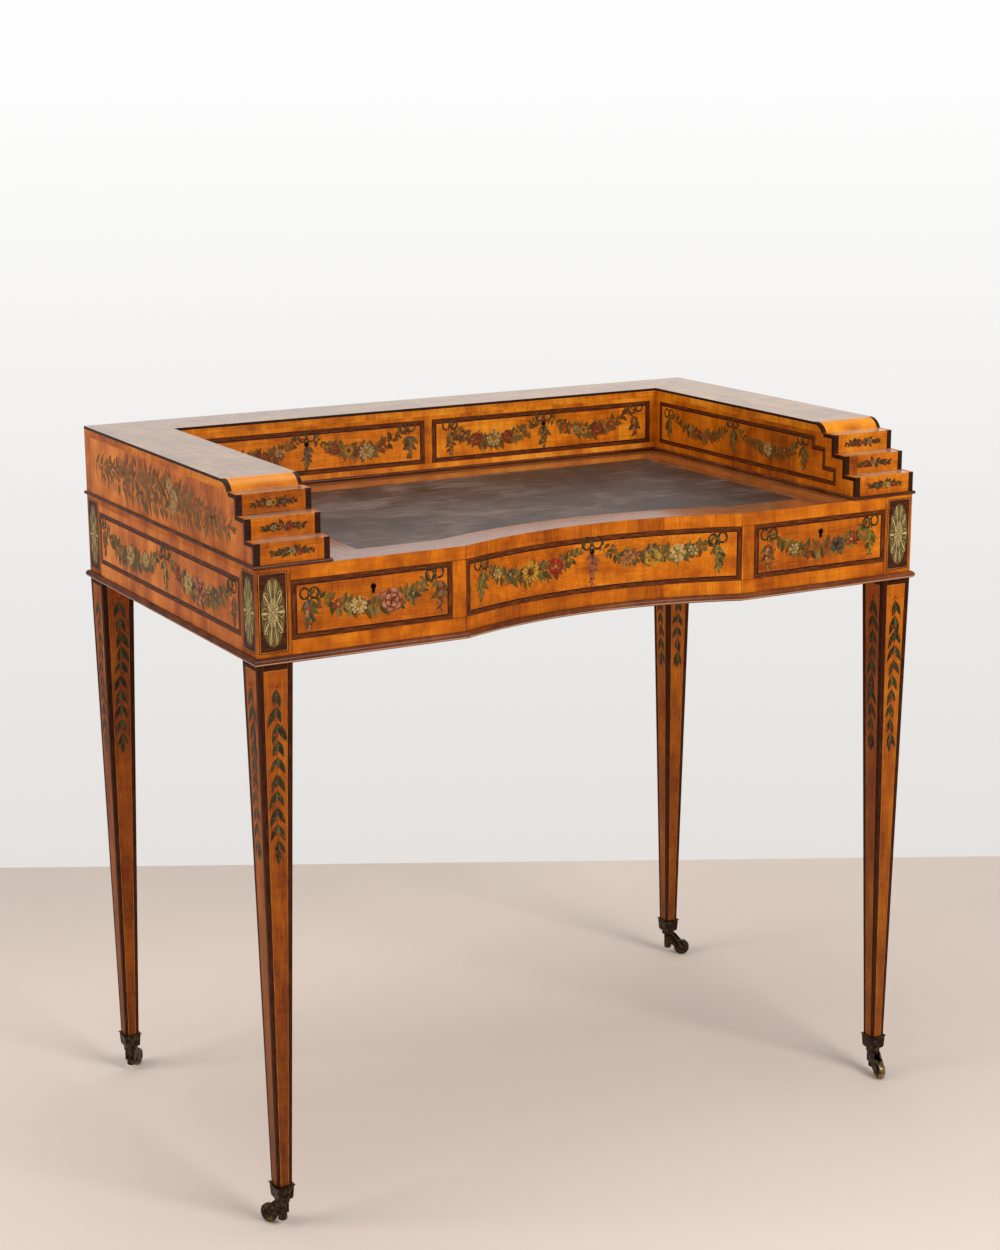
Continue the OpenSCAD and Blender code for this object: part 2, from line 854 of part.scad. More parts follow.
module lock_case(x, back_y, top_z) {
    top = top_z - reveal;
    slot_x = bolt_w / 2 + bolt_gap;
    slot_y = bolt_t / 2 + bolt_gap;
    middle_y = back_y - lock_t / 2;
    color(LOCK_BRASS)
        difference() {
            block([x - lock_w / 2, back_y - lock_t, top - lock_h], [x + lock_w / 2, back_y, top]);
            block(
                [x - slot_x, middle_y - slot_y, top - bolt_h - run_gap],
                [x + slot_x, middle_y + slot_y, top + cut]
            );
            translate([0, -lock_t + key_depth, 0])
                keyhole(x, back_y, top, key_depth + cut);
        }
}

module lock_bolt(x, back_y, top_z) {
    top = top_z - reveal;
    middle_y = back_y - lock_t / 2;
    color(WHEEL_BRASS)
        block(
            [x - bolt_w / 2, middle_y - bolt_t / 2, top - bolt_h],
            [x + bolt_w / 2, middle_y + bolt_t / 2, top]
        );
}

leg(-1, -1);  // leg_front_left
leg(1, -1);  // leg_front_right
leg(1, 1);  // leg_back_right
leg(-1, 1);  // leg_back_left
side_rail(-1);  // side_rail_left
side_rail(1);  // side_rail_right
back_rail();
front_top_rail();
front_bottom_rail();
drawer_partitions();
drawer_runners();
base_moulding();
waist_moulding();
writing_board();
writing_leather();
wing_panel(-half_w, half_d);  // wing_outer_panel_left
wing_panel(half_w - panel_t, half_d);  // wing_outer_panel_right
wing_panel(-wing_in - panel_t, panel_back_y);  // wing_inner_panel_left
wing_panel(wing_in, panel_back_y);  // wing_inner_panel_right
wing_steps(-1);  // wing_steps_left
wing_steps(1);  // wing_steps_right
gallery_back_panel();
gallery_base_board();
gallery_top_rail();
gallery_uprights();
mirror([1, 0, 0]) gallery_top_wing();  // gallery_top_left
gallery_top_wing();  // gallery_top_right
gallery_top_back();
caster_cup(0);  // caster_cup_front_left
caster_cup(1);  // caster_cup_front_right
caster_cup(2);  // caster_cup_back_right
caster_cup(3);  // caster_cup_back_left
caster_fork(0);  // caster_fork_front_left
caster_fork(1);  // caster_fork_front_right
caster_fork(2);  // caster_fork_back_right
caster_fork(3);  // caster_fork_back_left
caster_wheel(0);  // caster_wheel_front_left
caster_wheel(1);  // caster_wheel_front_right
caster_wheel(2);  // caster_wheel_back_right
caster_wheel(3);  // caster_wheel_back_left
side_drawer_front(-1);  // drawer_front_left
drawer_front_centre();
side_drawer_front(1);  // drawer_front_right
side_drawer_tray(-1);  // drawer_tray_left
drawer_tray_centre();
side_drawer_tray(1);  // drawer_tray_right
small_drawer_front(-1);  // gallery_drawer_front_left
small_drawer_front(1);  // gallery_drawer_front_right
small_drawer_tray(-1);  // gallery_drawer_tray_left
small_drawer_tray(1);  // gallery_drawer_tray_right
lock_case(-side_lock_x, front_back_y, opening_top);  // lock_left
lock_case(0, hollow_back_y, opening_top);  // lock_centre
lock_case(side_lock_x, front_back_y, opening_top);  // lock_right
lock_case(-small_lock_x, small_back_y, small_top);  // gallery_lock_left
lock_case(small_lock_x, small_back_y, small_top);  // gallery_lock_right
lock_bolt(-side_lock_x, front_back_y, opening_top);  // lock_bolt_left
lock_bolt(0, hollow_back_y, opening_top);  // lock_bolt_centre
lock_bolt(side_lock_x, front_back_y, opening_top);  // lock_bolt_right
lock_bolt(-small_lock_x, small_back_y, small_top);  // gallery_bolt_left
lock_bolt(small_lock_x, small_back_y, small_top);  // gallery_bolt_right
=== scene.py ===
# %% [markdown]
# # A Carlton House writing desk
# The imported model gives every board, lock and caster at its real size. This script dresses it:
# polished veneers, dark banding, painted flowers, worn leather and old brass. Everything is in
# metres, in the model's own frame: +X to the sitter's right, +Y to the back, +Z up.

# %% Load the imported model
import functools
import json
import math
import random

import bpy
from mathutils import Matrix, Vector


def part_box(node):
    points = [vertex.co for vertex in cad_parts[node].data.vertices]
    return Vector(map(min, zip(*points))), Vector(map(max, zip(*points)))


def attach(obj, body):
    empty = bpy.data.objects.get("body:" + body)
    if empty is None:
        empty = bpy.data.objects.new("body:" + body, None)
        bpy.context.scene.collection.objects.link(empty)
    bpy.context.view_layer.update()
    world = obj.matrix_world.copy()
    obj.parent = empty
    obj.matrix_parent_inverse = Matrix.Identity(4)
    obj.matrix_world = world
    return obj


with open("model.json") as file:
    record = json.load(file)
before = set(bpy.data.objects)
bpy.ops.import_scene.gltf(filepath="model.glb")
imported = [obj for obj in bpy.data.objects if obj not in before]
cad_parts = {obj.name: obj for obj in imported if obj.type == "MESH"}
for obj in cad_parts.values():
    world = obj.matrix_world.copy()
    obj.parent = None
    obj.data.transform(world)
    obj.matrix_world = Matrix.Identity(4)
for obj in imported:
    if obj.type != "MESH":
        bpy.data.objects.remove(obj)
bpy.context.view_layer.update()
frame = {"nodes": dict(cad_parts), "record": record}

MM = 0.001
NODES = frame["nodes"]

# %% [markdown]
# ## Sizes that the dressing needs
# Places come from the boxes of the model's boards. Only what a box can't tell is a number here:
# the curve of the hollow front and the widths of the inlaid bands, which a cabinet maker would
# set on a cutting gauge.

# %% Measure the desk's boards
HOLLOW_W, HOLLOW_DEPTH = 381 * MM, 38 * MM
HOLLOW_R = ((HOLLOW_W / 2) ** 2 + HOLLOW_DEPTH ** 2) / (2 * HOLLOW_DEPTH)
BAND_W, LINE_W, JOINT_W = 5.0 * MM, 1.3 * MM, 0.5 * MM

board_low, board_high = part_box("writing_board")
panel_low, panel_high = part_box("wing_inner_panel_right")
HALF_W, FRONT_Y, BACK_Y = board_high.x, board_low.y, board_high.y
WRITING_Z, TOP_Z = board_high.z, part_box("gallery_top_back")[1].z
PANEL_FOOT, PANEL_TOP, WING_IN = panel_low.z, panel_high.z, panel_low.x
OUTER_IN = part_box("wing_outer_panel_right")[0].x
FOOT_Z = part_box("front_bottom_rail")[0].z
GALLERY_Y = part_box("gallery_base_board")[0].y
POST_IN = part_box("back_rail")[1].x
HOLLOW_Y = FRONT_Y + HOLLOW_DEPTH - HOLLOW_R
print("half width", HALF_W, "front", FRONT_Y, "writing height", WRITING_Z,
      "hollow radius", HOLLOW_R)

# %% [markdown]
# ## Shader helpers
# Every material here is built from a few small functions. One turns a written colour to linear
# light, because Blender's sockets expect that. One adds a node with its settings and links, and
# gives back the output to link on, so that a chain of nodes reads like a chain of sums.


# %% Turn colours and add nodes
def linear(code):
    """sRGB "#RRGGBB" as linear RGBA, which is what Blender's sockets expect."""
    parts = [int(code[i:i + 2], 16) / 255 for i in (1, 3, 5)]
    return tuple(c / 12.92 if c <= 0.04045 else ((c + 0.055) / 1.055) ** 2.4
                 for c in parts) + (1.0,)


def add(tree, kind, inputs=(), output=None, **settings):
    """A new node: settings are its own properties, inputs are values or sockets to link from.
    Gives back the named output, or else the first one that the node uses."""
    made = tree.nodes.new(kind)
    for name, value in settings.items():
        setattr(made, name, value)
    for key, value in dict(inputs).items():
        if isinstance(value, bpy.types.NodeSocket):
            tree.links.new(value, made.inputs[key])
        else:
            made.inputs[key].default_value = value
    if output is not None:
        return made.outputs[output]
    return next((socket for socket in made.outputs if socket.enabled), None)


print("mid grey in linear light", round(linear("#808080")[0], 3))

# %% [markdown]
# ## Opening and closing a material
# A material starts empty and ends in one Principled shader, which can stand for wood, leather,
# paint or metal. Most colours here come from a ramp: a pattern runs from 0 to 1, and the ramp
# says which tone of the wood each value is.


# %% Open, colour and close a material
def new_material(name):
    """An empty material and its node tree."""
    material = bpy.data.materials.new(name)
    material.use_nodes = True
    material.node_tree.nodes.clear()
    return material, material.node_tree


def tones(tree, factor, places, codes):
    """A colour ramp with these colours at these places."""
    ramp = add(tree, "ShaderNodeValToRGB", {0: factor})
    steps = ramp.node.color_ramp.elements
    steps[0].position, steps[1].position = places[0], places[-1]
    steps[0].color, steps[1].color = linear(codes[0]), linear(codes[-1])
    for position, code in zip(places[1:-1], codes[1:-1]):
        steps.new(position).color = linear(code)
    return ramp


def close_material(tree, inputs):
    """The Principled shader that ends a material, wired to its output."""
    add(tree, "ShaderNodeOutputMaterial", {
        "Surface": add(tree, "ShaderNodeBsdfPrincipled", inputs)})


def dress(part, material):
    """Put one material on a board of the model."""
    part.data.materials.clear()
    part.data.materials.append(material)


print("materials can be opened, coloured and closed")

# %% [markdown]
# ## Camera
# The camera stands where the photographer stood, a little above the desk and to its left. Its
# place, aim, roll and lens were fitted to the desk's measured corners, so that the render can be
# laid over the photograph. A quaternion holds the aim and the roll without any fixed order of
# angles.

# %% Place the camera where the photograph was taken
CAMERA_PLACE = (-1.41957, -2.55843, 1.32228)
CAMERA_AIM = Vector((0.4724, 0.8498, -0.2338))
CAMERA_ROLL = math.radians(-0.32)
LENS_MM, SENSOR_MM = 67.34, 36
camera_data = bpy.data.cameras.new("camera")
camera_data.lens = LENS_MM
camera_data.sensor_width = SENSOR_MM
camera = bpy.data.objects.new("camera", camera_data)
camera.rotation_mode = "QUATERNION"
camera.location = CAMERA_PLACE
level = CAMERA_AIM.to_track_quat("-Z", "Y")
camera.rotation_quaternion = level @ Matrix.Rotation(CAMERA_ROLL, 3, "Z").to_quaternion()
bpy.context.scene.collection.objects.link(camera)
bpy.context.scene.camera = camera
bpy.context.scene.view_settings.view_transform = "Standard"
print("camera at", camera.location, "lens", camera_data.lens)

# %% [markdown]
# ## Floor
# A plain pale floor takes the desk's soft shadow. A square floor would show its corners when the
# camera goes round, so it is round, with its far side cut straight, so that it ends in a level
# line behind the desk.

# %% Lay the floor
FLOOR_REACH, FLOOR_END, FLOOR_SIDES = 2.5, 0.848, 96
TO_BACK = Vector((0.4699, 0.8827, 0.0))
# warm, pale, and too dull to mirror the desk
floor_paint, floor_tree = new_material("pale_floor")
close_material(floor_tree, {
    "Base Color": linear("#E6D6C9"), "Roughness": 0.7, "Specular IOR Level": 0.2})
floor_rim = []
for i in range(FLOOR_SIDES):
    angle = math.tau * i / FLOOR_SIDES
    point = Vector((FLOOR_REACH * math.cos(angle), FLOOR_REACH * math.sin(angle), 0))
    floor_rim.append(point - TO_BACK * max(0.0, point.dot(TO_BACK) - FLOOR_END))
floor_mesh = bpy.data.meshes.new("floor")
floor_mesh.from_pydata(floor_rim, [], [tuple(range(FLOOR_SIDES))])
floor_mesh.materials.append(floor_paint)
floor = bpy.data.objects.new("floor", floor_mesh)
bpy.context.scene.collection.objects.link(floor)
print("floor reaches", FLOOR_REACH, "m, and", FLOOR_END, "m to the back")

# %% [markdown]
# ## Lamps
# Three large square lamps are soft windows: one in front, one at the desk's left and one above.
# Their size makes the shadows soft, and their watts are set so that a colour renders about as it
# is written.

# %% Hang the lamps
DESK_MIDDLE = Vector((0.0, 0.0, 0.7))
LAMPS = (("lamp_front", Vector((1.0, -3.6, 2.6)), 1.8, 112),
         ("lamp_left", Vector((-3.6, 0.4, 2.4)), 2.0, 64),
         ("lamp_top", Vector((0.0, 0.2, 3.6)), 2.0, 34))
for name, at, size, watts in LAMPS:
    data = bpy.data.lights.new(name, "AREA")
    data.size, data.energy = size, watts
    lamp = bpy.data.objects.new(name, data)
    lamp.location = at
    lamp.rotation_mode = "QUATERNION"
    lamp.rotation_quaternion = (DESK_MIDDLE - at).to_track_quat("-Z", "Y")
    bpy.context.scene.collection.objects.link(lamp)
    print(name, size, "m wide,", watts, "W")

# %% [markdown]
# ## The room round the desk
# The world fills the shadows with even light. The camera sees a nearly white backdrop instead, by
# Light Path's camera ray. Polish shows what stands opposite: for glossy rays the world is bright
# to the back and dim to the front, so the upright faces keep their deep colour while the level
# ones shine.

# %% Light the room
FILL = 0.34
world = bpy.data.worlds.new("studio")
world.use_nodes = True
bpy.context.scene.world = world
studio = world.node_tree
studio.nodes.clear()
ray = add(studio, "ShaderNodeLightPath").node.outputs
direction = add(studio, "ShaderNodeTexCoord", output="Generated")
rise = add(studio, "ShaderNodeSeparateXYZ", {0: direction}, "Z")
height = add(studio, "ShaderNodeMapRange", {"Value": rise, "From Min": -0.35, "From Max": 0.0})
backdrop = tones(studio, height, (0.0, 0.4, 1.0), ("#E3DFDC", "#ECEAE8", "#FEFEFE"))
to_back = add(studio, "ShaderNodeVectorMath", {0: direction, 1: tuple(TO_BACK)}, "Value",
              operation="DOT_PRODUCT")
mirrored_light = add(studio, "ShaderNodeMapRange", {
    "Value": to_back, "From Min": 0.45, "From Max": 0.95, "To Min": 0.12, "To Max": 0.8})
strength = add(studio, "ShaderNodeMix", {0: ray["Is Glossy Ray"], 2: FILL, 3: mirrored_light},
               data_type="FLOAT")
fill_light = add(studio, "ShaderNodeBackground", {"Color": linear("#FFFFFF"), "Strength": strength})
seen_light = add(studio, "ShaderNodeBackground", {"Color": backdrop})
either = add(studio, "ShaderNodeMixShader", {0: ray["Is Camera Ray"], 1: fill_light, 2: seen_light})
add(studio, "ShaderNodeOutputWorld", {"Surface": either})
print("room filled with", FILL, "of white")

# %% [markdown]
# ## Satinwood veneer
# Satinwood is a pale golden timber, yellowed to orange by two centuries of polish. Its grain
# shines in short cross ripples, the mottle. An image of wood would stretch over the boards, so
# noises make it instead, each stretched to a size in millimetres. Two helpers do most of the
# work: one draws blotches of a real size, the other lets one colour go over to another.


# %% Draw blotches and go from colour to colour
def blotches(tree, place, sizes_mm, detail, roughness=0.55, shift=0.0, distortion=0.0):
    """A noise whose blotches measure about sizes_mm along X, Y and Z."""
    stretched = add(tree, "ShaderNodeMapping", {
        "Vector": place, "Location": (shift,) * 3,
        "Scale": tuple(1000 / size for size in sizes_mm)})
    return add(tree, "ShaderNodeTexNoise", {
        "Vector": stretched, "Scale": 1.0, "Detail": detail, "Roughness": roughness,
        "Distortion": distortion})


def go_over(tree, colour, other, value, low, high, most=1.0):
    """The colour goes over to another while a value rises from low to high."""
    share = add(tree, "ShaderNodeMapRange", {
        "Value": value, "From Min": low, "From Max": high, "To Max": most})
    return add(tree, "ShaderNodeMix", {0: share, 6: colour, 7: other}, data_type="RGBA")


def close_varnished(tree, colour, specular, polish, **more):
    """End a material as a dull colour under a clear coat, which is what old varnish is."""
    close_material(tree, {
        "Base Color": colour, "Roughness": 0.45, "IOR": 1.5, "Specular IOR Level": specular,
        "Coat Weight": polish, "Coat Roughness": 0.1, **more})


print("patterns and finishes can be mixed")

# %% [markdown]
# ## The pattern of a veneer
# Veneer is sawn thin and laid leaf beside leaf, so the tone steps a little from one to the next.
# Fibres, clouds, ripples and leaves add up to one tone from dark to light. A fibre is drawn about
# 1 mm wide, coarser than a real one, so that it shows.

# %% Add up the pattern of a veneer
FIBRE_MM, CLOUD_MM, MOTTLE_MM, PATCH_MM = (28, 1.0), (110, 30), (8, 30), (60, 26)
FIBRE_SHARE, CLOUD_SHARE, MOTTLE_SHARE = 0.34, 0.40, 0.5


def wood_patterns(tree, place, grain, leaf_axis, leaf_mm, ripple, leaf_step):
    """Three patterns of a veneer: its fibres, its whole tone and the patches of its age."""
    def with_grain(size_mm, detail, shift=0.0, distortion=0.0):
        """Blotches so long along the grain and so wide across it."""
        sizes = [size_mm[1]] * 3
        sizes[grain] = size_mm[0]
        return blotches(tree, place, sizes, detail, shift=shift, distortion=distortion)

    fibres = with_grain(FIBRE_MM, 3.0)
    clouds = with_grain(CLOUD_MM, 2.0, 3.7)
    mottle = with_grain(MOTTLE_MM, 2.0, 1.3, 0.6)
    across = add(tree, "ShaderNodeSeparateXYZ", {0: place}, leaf_axis)
    leaf = add(tree, "ShaderNodeMath", {0: across, 1: leaf_mm * MM}, operation="DIVIDE")
    leaf = add(tree, "ShaderNodeMath", {0: leaf}, operation="FLOOR")
    leaf_tone = add(tree, "ShaderNodeTexWhiteNoise", {"W": leaf}, noise_dimensions="1D")
    tone = 0.0
    for pattern, share in ((fibres, FIBRE_SHARE), (clouds, CLOUD_SHARE),
                           (mottle, MOTTLE_SHARE * ripple), (leaf_tone, leaf_step)):
        tone = add(tree, "ShaderNodeMath", {0: pattern, 1: share, 2: tone},
                   operation="MULTIPLY_ADD")
    return fibres, tone, with_grain(PATCH_MM, 4.0, 8.1)


print("fibres of", FIBRE_MM, "mm, clouds of", CLOUD_MM, "mm, ripples of", MOTTLE_MM, "mm")

# %% [markdown]
# ## The wood, its age and its painted light
# A ramp turns the tone into wood. What comes after it is partly age and partly painted light:
# dark patches of age, painted shade that darkens a foot toward the floor, a painted highlight
# along a bead's under side and on a rounded end, and level faces, bleached by light on the tops
# and painted paler as a reflection on the treads. Each is a mix of two colours, and a board that
# has none of them leaves it out. The polish is a clear coat over all.

# %% Make a polished veneer
GRAIN_STOPS = (0.38, 0.57, 0.76)


def veneer(name, codes, grain, leaf_axis=0, leaf_mm=1000, ripple=0.5, polish=0.1, leaf_step=0.14,
           patina=0.5, foot_shade=1.0, level_codes=None, rubbed=None, crest=None):
    """Veneer whose fibres run along an axis (0, 1 or 2). codes go from dark to light, and
    level_codes are those of its level faces: bleached by light on the tops, painted paler as a
    reflection on the treads. patina is how dark its aged patches are, foot_shade is painted shade
    that darkens it toward the floor, rubbed is the colour of a painted highlight along a
    bead's under side, and crest that of a painted highlight on a rounded end where it turns level."""
    material, tree = new_material(name)
    place = add(tree, "ShaderNodeTexCoord", output="Object")
    fibres, tone, patches = wood_patterns(tree, place, grain, leaf_axis, leaf_mm, ripple, leaf_step)
    colour = tones(tree, tone, GRAIN_STOPS, codes)
    darkened = add(tree, "ShaderNodeVectorMath", {0: colour, 1: linear("#A06A38")[:3]},
                   operation="MULTIPLY")
    colour = go_over(tree, colour, darkened, patches, 0.46, 0.7, patina)
    # painted shade: the colour darkens toward the floor
    if foot_shade < 1:
        above_floor = add(tree, "ShaderNodeSeparateXYZ", {0: place}, "Z")
        painted_foot_shade = add(tree, "ShaderNodeMapRange", {
            "Value": above_floor, "From Min": 0.1, "From Max": 0.68, "To Min": foot_shade})
        colour = add(tree, "ShaderNodeVectorMath", {0: colour, "Scale": painted_foot_shade},
                     operation="SCALE")
    if rubbed or crest or level_codes:
        normal = add(tree, "ShaderNodeNewGeometry", output="Normal")
        upness = add(tree, "ShaderNodeSeparateXYZ", {0: normal}, "Z")
    # painted highlight: a pale band on the faces that turn partly down, as on a bead's under side
    if rubbed:
        downness = add(tree, "ShaderNodeMapRange", {
            "Value": upness, "From Min": -1.0, "From Max": 0.0})
        painted_highlight_band = tones(tree, downness, (0.3, 0.42, 0.6, 0.75),
                          ("#000000", "#D8D8D8", "#D8D8D8", "#000000"))
        colour = add(tree, "ShaderNodeMix", {0: painted_highlight_band, 6: colour, 7: linear(rubbed)},
                     data_type="RGBA")
    # painted highlight: a brighter colour where a rounded end turns toward level
    if crest:
        colour = go_over(tree, colour, linear(crest), upness, 0.4, 0.85, 0.6)
    # level faces: bleached by light on the tops, painted paler as a reflection on the treads
    if level_codes:
        level = tones(tree, tone, GRAIN_STOPS, level_codes)
        colour = go_over(tree, colour, level, upness, 0.994, 0.9992)
        polish = add(tree, "ShaderNodeMapRange", {
            "Value": upness, "From Min": 0.97, "From Max": 0.999, "To Min": 0.25, "To Max": polish})
    bump = add(tree, "ShaderNodeBump", {"Strength": 0.05, "Distance": 0.0002, "Height": fibres})
    close_varnished(tree, colour, 0.12, polish, Normal=bump)
    print("veneer", name, "fibres along", "xyz"[grain], "leaves of", leaf_mm, "mm")
    return material


print("the tones of a veneer lie at", GRAIN_STOPS)

# %% [markdown]
# ## Which board wears which veneer
# A board's fibres run its long way, and the cross banding's run upright. The level boards keep
# the most polish: the top boards are bleached, and the treads are painted paler as a reflection.
# The model's boards already have the right shape, so each just gets its material in place of the
# plain one.

# %% Veneer the boards
SATIN = ("#8C3E04", "#CE6C08", "#F49C22")
SATIN_GALLERY = ("#A04806", "#E27C0C", "#FFB034")
SATIN_BRIGHT = ("#B8560C", "#F09022", "#FFC456")
SATIN_SIDE = ("#A6521A", "#D87828", "#F4A04A")
SATIN_LEG = ("#803604", "#C06406", "#E88E12")
FADED = ("#623A1A", "#9A6830", "#C6924C")
PALE = ("#7E5A40", "#B08C6C", "#D8BCA0")
PINE = ("#7A4E26", "#9C6B3A", "#B98A58")
X, Y, Z = range(3)
CROSS = {"leaf_mm": 48, "ripple": 0.4, "leaf_step": 0.13}
UPRIGHT = {"leaf_axis": Y, "leaf_mm": 62, "ripple": 0.35}
TOP = {"ripple": 0.7, "polish": 1.0, "level_codes": FADED}
VENEERS = (
    # sawn leaves laid lengthwise: broad sheets of deep gold
    ("satinwood_field", SATIN, X, {"leaf_mm": 190}, ("drawer_front",)),
    # the same cut across the grain: short upright leaves whose tone steps every 48 mm
    ("satinwood_cross_banding", SATIN, Z, CROSS, ("front_", "drawer_partitions", "writing_board")),
    # painted light: a brighter gold, so that the recessed gallery looks as lit as the front
    ("satinwood_gallery", SATIN_GALLERY, X, {"leaf_mm": 150}, ("gallery_drawer_front",)),
    # the same brighter gold of painted light round the gallery's drawers, in short upright leaves
    ("satinwood_gallery_rail", SATIN_GALLERY, Z, CROSS, ("gallery_uprights", "gallery_top_rail")),
    # the brightest of all: a painted reflection on the strip under the gallery's drawers
    ("satinwood_gallery_base", SATIN_BRIGHT, Z, CROSS, ("gallery_base",)),
    # long upright fibres with few ripples, and painted shade that darkens them toward the floor
    ("satinwood_leg", SATIN_LEG, Z, {"ripple": 0.3, "patina": 0.35, "foot_shade": 0.55}, ("leg_",)),
    # bleached grey-brown where level and full of gloss, still golden where the ends turn down,
    # with a painted highlight there
    ("satinwood_wing_top", SATIN, Y, dict(TOP, crest="#EE9A30"),
     ("gallery_top_left", "gallery_top_right")),
    # the same grey-brown along the back, its fibres turned to run its long way
    ("satinwood_back_top", SATIN, X, TOP, ("gallery_top_back",)),
    # golden risers under treads painted paler, a painted reflection on their level faces
    ("satinwood_step", SATIN, X, {"leaf_mm": 190, "polish": 1.0, "level_codes": PALE},
     ("wing_steps",)),
    # paler and pinker on the outer faces: a painted sheen, as of light reflected off them
    ("satinwood_side", SATIN_SIDE, Z, dict(UPRIGHT, polish=0.2),
     ("side_rail", "back_rail", "wing_outer", "gallery_back_panel")),
    # deep gold in upright leaves on the faces toward the seat
    ("satinwood_wing", SATIN, Z, UPRIGHT, ("wing_inner",)),
    # planed and waxed deal inside: dull brown with a soft sheen
    ("waxed_pine", PINE, Y, {"leaf_mm": 90, "polish": 0.05},
     ("drawer_tray", "gallery_drawer_tray", "drawer_runners")),
)
for name, codes, grain, more, starts in VENEERS:
    material = veneer(name, codes, grain, **more)
    for board, part in NODES.items():
        if board.startswith(starts):
            dress(part, material)
print("veneers", len(VENEERS))

# %% [markdown]
# ## Rosewood for bands
# Rosewood is nearly black, with red and brown streaks. The bands round the drawers are cut across
# or along it and let in flush. Object coordinates would run the streaks straight through every
# mitre, so a band reads its own UV map, in metres along and across it.


# %% Make streaked woods for bands
def band_wood(name, codes, streak_mm=(18, 1.2), polish=0.1, specular=0.1):
    """A wood whose streaks follow the band's own UV map."""
    material, tree = new_material(name)
    place = add(tree, "ShaderNodeUVMap", uv_map="band")
    streaks = blotches(tree, place, (*streak_mm, 1000), 3.0, 0.6)
    colour = tones(tree, streaks, (0.3, 0.5, 0.72), codes)
    bump = add(tree, "ShaderNodeBump", {"Strength": 0.08, "Distance": 0.0002, "Height": streaks})
    close_varnished(tree, colour, specular, polish, Normal=bump)
    return material


# rosewood let in round drawers and panels: warm dark brown
rosewood_band = band_wood("rosewood_band", ("#301206", "#58270C", "#8A4C1C"))
# the legs' edges, duller and redder from handling
leg_band = band_wood("dark_rosewood_leg_band", ("#1C0A03", "#3A1706", "#60300F"),
                     polish=0.05, specular=0.05)
# ebony stringing: a near-black hairline
ebony_line = band_wood("ebony_line", ("#140A06", "#200F08", "#341A0E"))
# rosewood over end grain: darker, for it drank the polish
dark_edging = band_wood("dark_rosewood_edging", ("#1A0A04", "#30160A", "#502C16"))
# stained boxwood stringing: a fine tan line
stained_line = band_wood("stained_boxwood_line", ("#8A4818", "#B4702E", "#D09850"))
# plain brown veneer round the leather, broad streaks under a full polish
border_wood = band_wood("writing_border_wood", ("#5E3014", "#8A4E24", "#B07440"), (60, 2.2), 1.0)
# the posts' tablets: dark ground that sets off the rosettes
post_ground = band_wood("post_ground", ("#2A1208", "#44200E", "#5E3018"), (26, 1.6))
print("band woods ready")

# %% [markdown]
# ## Mouldings
# The bead under the case and the thin moulding under the gallery are solid wood, scratched to
# shape with a scraper, so their streaks run along them. A pale band is painted along the bead's
# under side as a highlight.

# %% Colour the mouldings
# red-brown, with a pale line painted along its under side as a highlight
bead_wood = veneer("rubbed_bead", ("#4A200C", "#703818", "#965A2C"), X, patina=0.6, polish=0.12,
                   rubbed="#E0AE8C")
# a dark line that sets the gallery off from the writing board
moulding_wood = veneer("dark_moulding", ("#3A190A", "#5E2E14", "#8A5228"), X, patina=0.6,
                       polish=0.2)
dress(NODES["base_moulding"], bead_wood)
dress(NODES["waist_moulding"], moulding_wood)
print("two mouldings coloured")

# %% [markdown]
# ## Drawing on a board
# Inlay and paint lie in the face of a board. Each design is drawn flat first: u to the right, v
# up and lift off the face, in metres. A placing function then says where such a point lands on
# the desk, so the same flat band fits a straight drawer and the hollow one.

# %% Place flat drawings on flat and hollow faces
FRONT, LEFT, BACK, RIGHT = (1, 0, 0), (0, -1, 0), (-1, 0, 0), (0, 1, 0)


def flat_face(middle, right, up=(0, 0, 1)):
    """A flat face: right and up are unit vectors seen from outside."""
    middle, right, up = Vector(middle), Vector(right), Vector(up)
    out = right.cross(up)
    return lambda u, v, lift: middle + right * u + up * v + out * lift


def side_face(sign, x, middle_z=0.0, inward=False):
    """An upright face of the left (-1) or right (1) side, seen from outside or from the seat."""
    return flat_face((sign * x, 0, middle_z), LEFT if (sign < 0) != inward else RIGHT)


def hollow_face(middle_z):
    """The hollow front: u runs round its curve."""
    def place(u, v, lift):
        angle = u / HOLLOW_R
        reach = HOLLOW_R - lift
        return Vector((reach * math.sin(angle), HOLLOW_Y + reach * math.cos(angle), middle_z + v))
    return place


print("middle of the hollow front", hollow_face(WRITING_Z)(0, 0, 0))

# %% [markdown]
# ## Closed leaves
# A loose sheet would have open edges, which is no solid shape. Every drawn shape therefore gets a
# back and a rim, so it is a closed leaf that sits a little into the wood. The rim is made of the
# edges that only one face uses.

# %% Close a leaf
SINK = 0.05 * MM


def closed_leaf(points, faces):
    """Give a sheet of points a sunk back and a rim."""
    count = len(points)
    edges = {(a, b) for face in faces for a, b in zip(face, face[1:] + face[:1])}
    rim = [(b, a, a + count, b + count) for a, b in sorted(edges) if (b, a) not in edges]
    backs = [tuple(i + count for i in reversed(face)) for face in faces]
    return points + [(u, v, -SINK) for u, v, lift in points], faces + backs + rim


triangle = closed_leaf([(0, 0, 0), (1, 0, 0), (0, 1, 0)], [(0, 1, 2)])
print("a triangle closes into", len(triangle[1]), "faces")

# %% [markdown]
# ## Laying a drawing as one piece
# Hundreds of leaves as hundreds of objects would be slow and hard to find again. All leaves of a
# design go into one mesh instead, with one material, and it rides on the board's body.


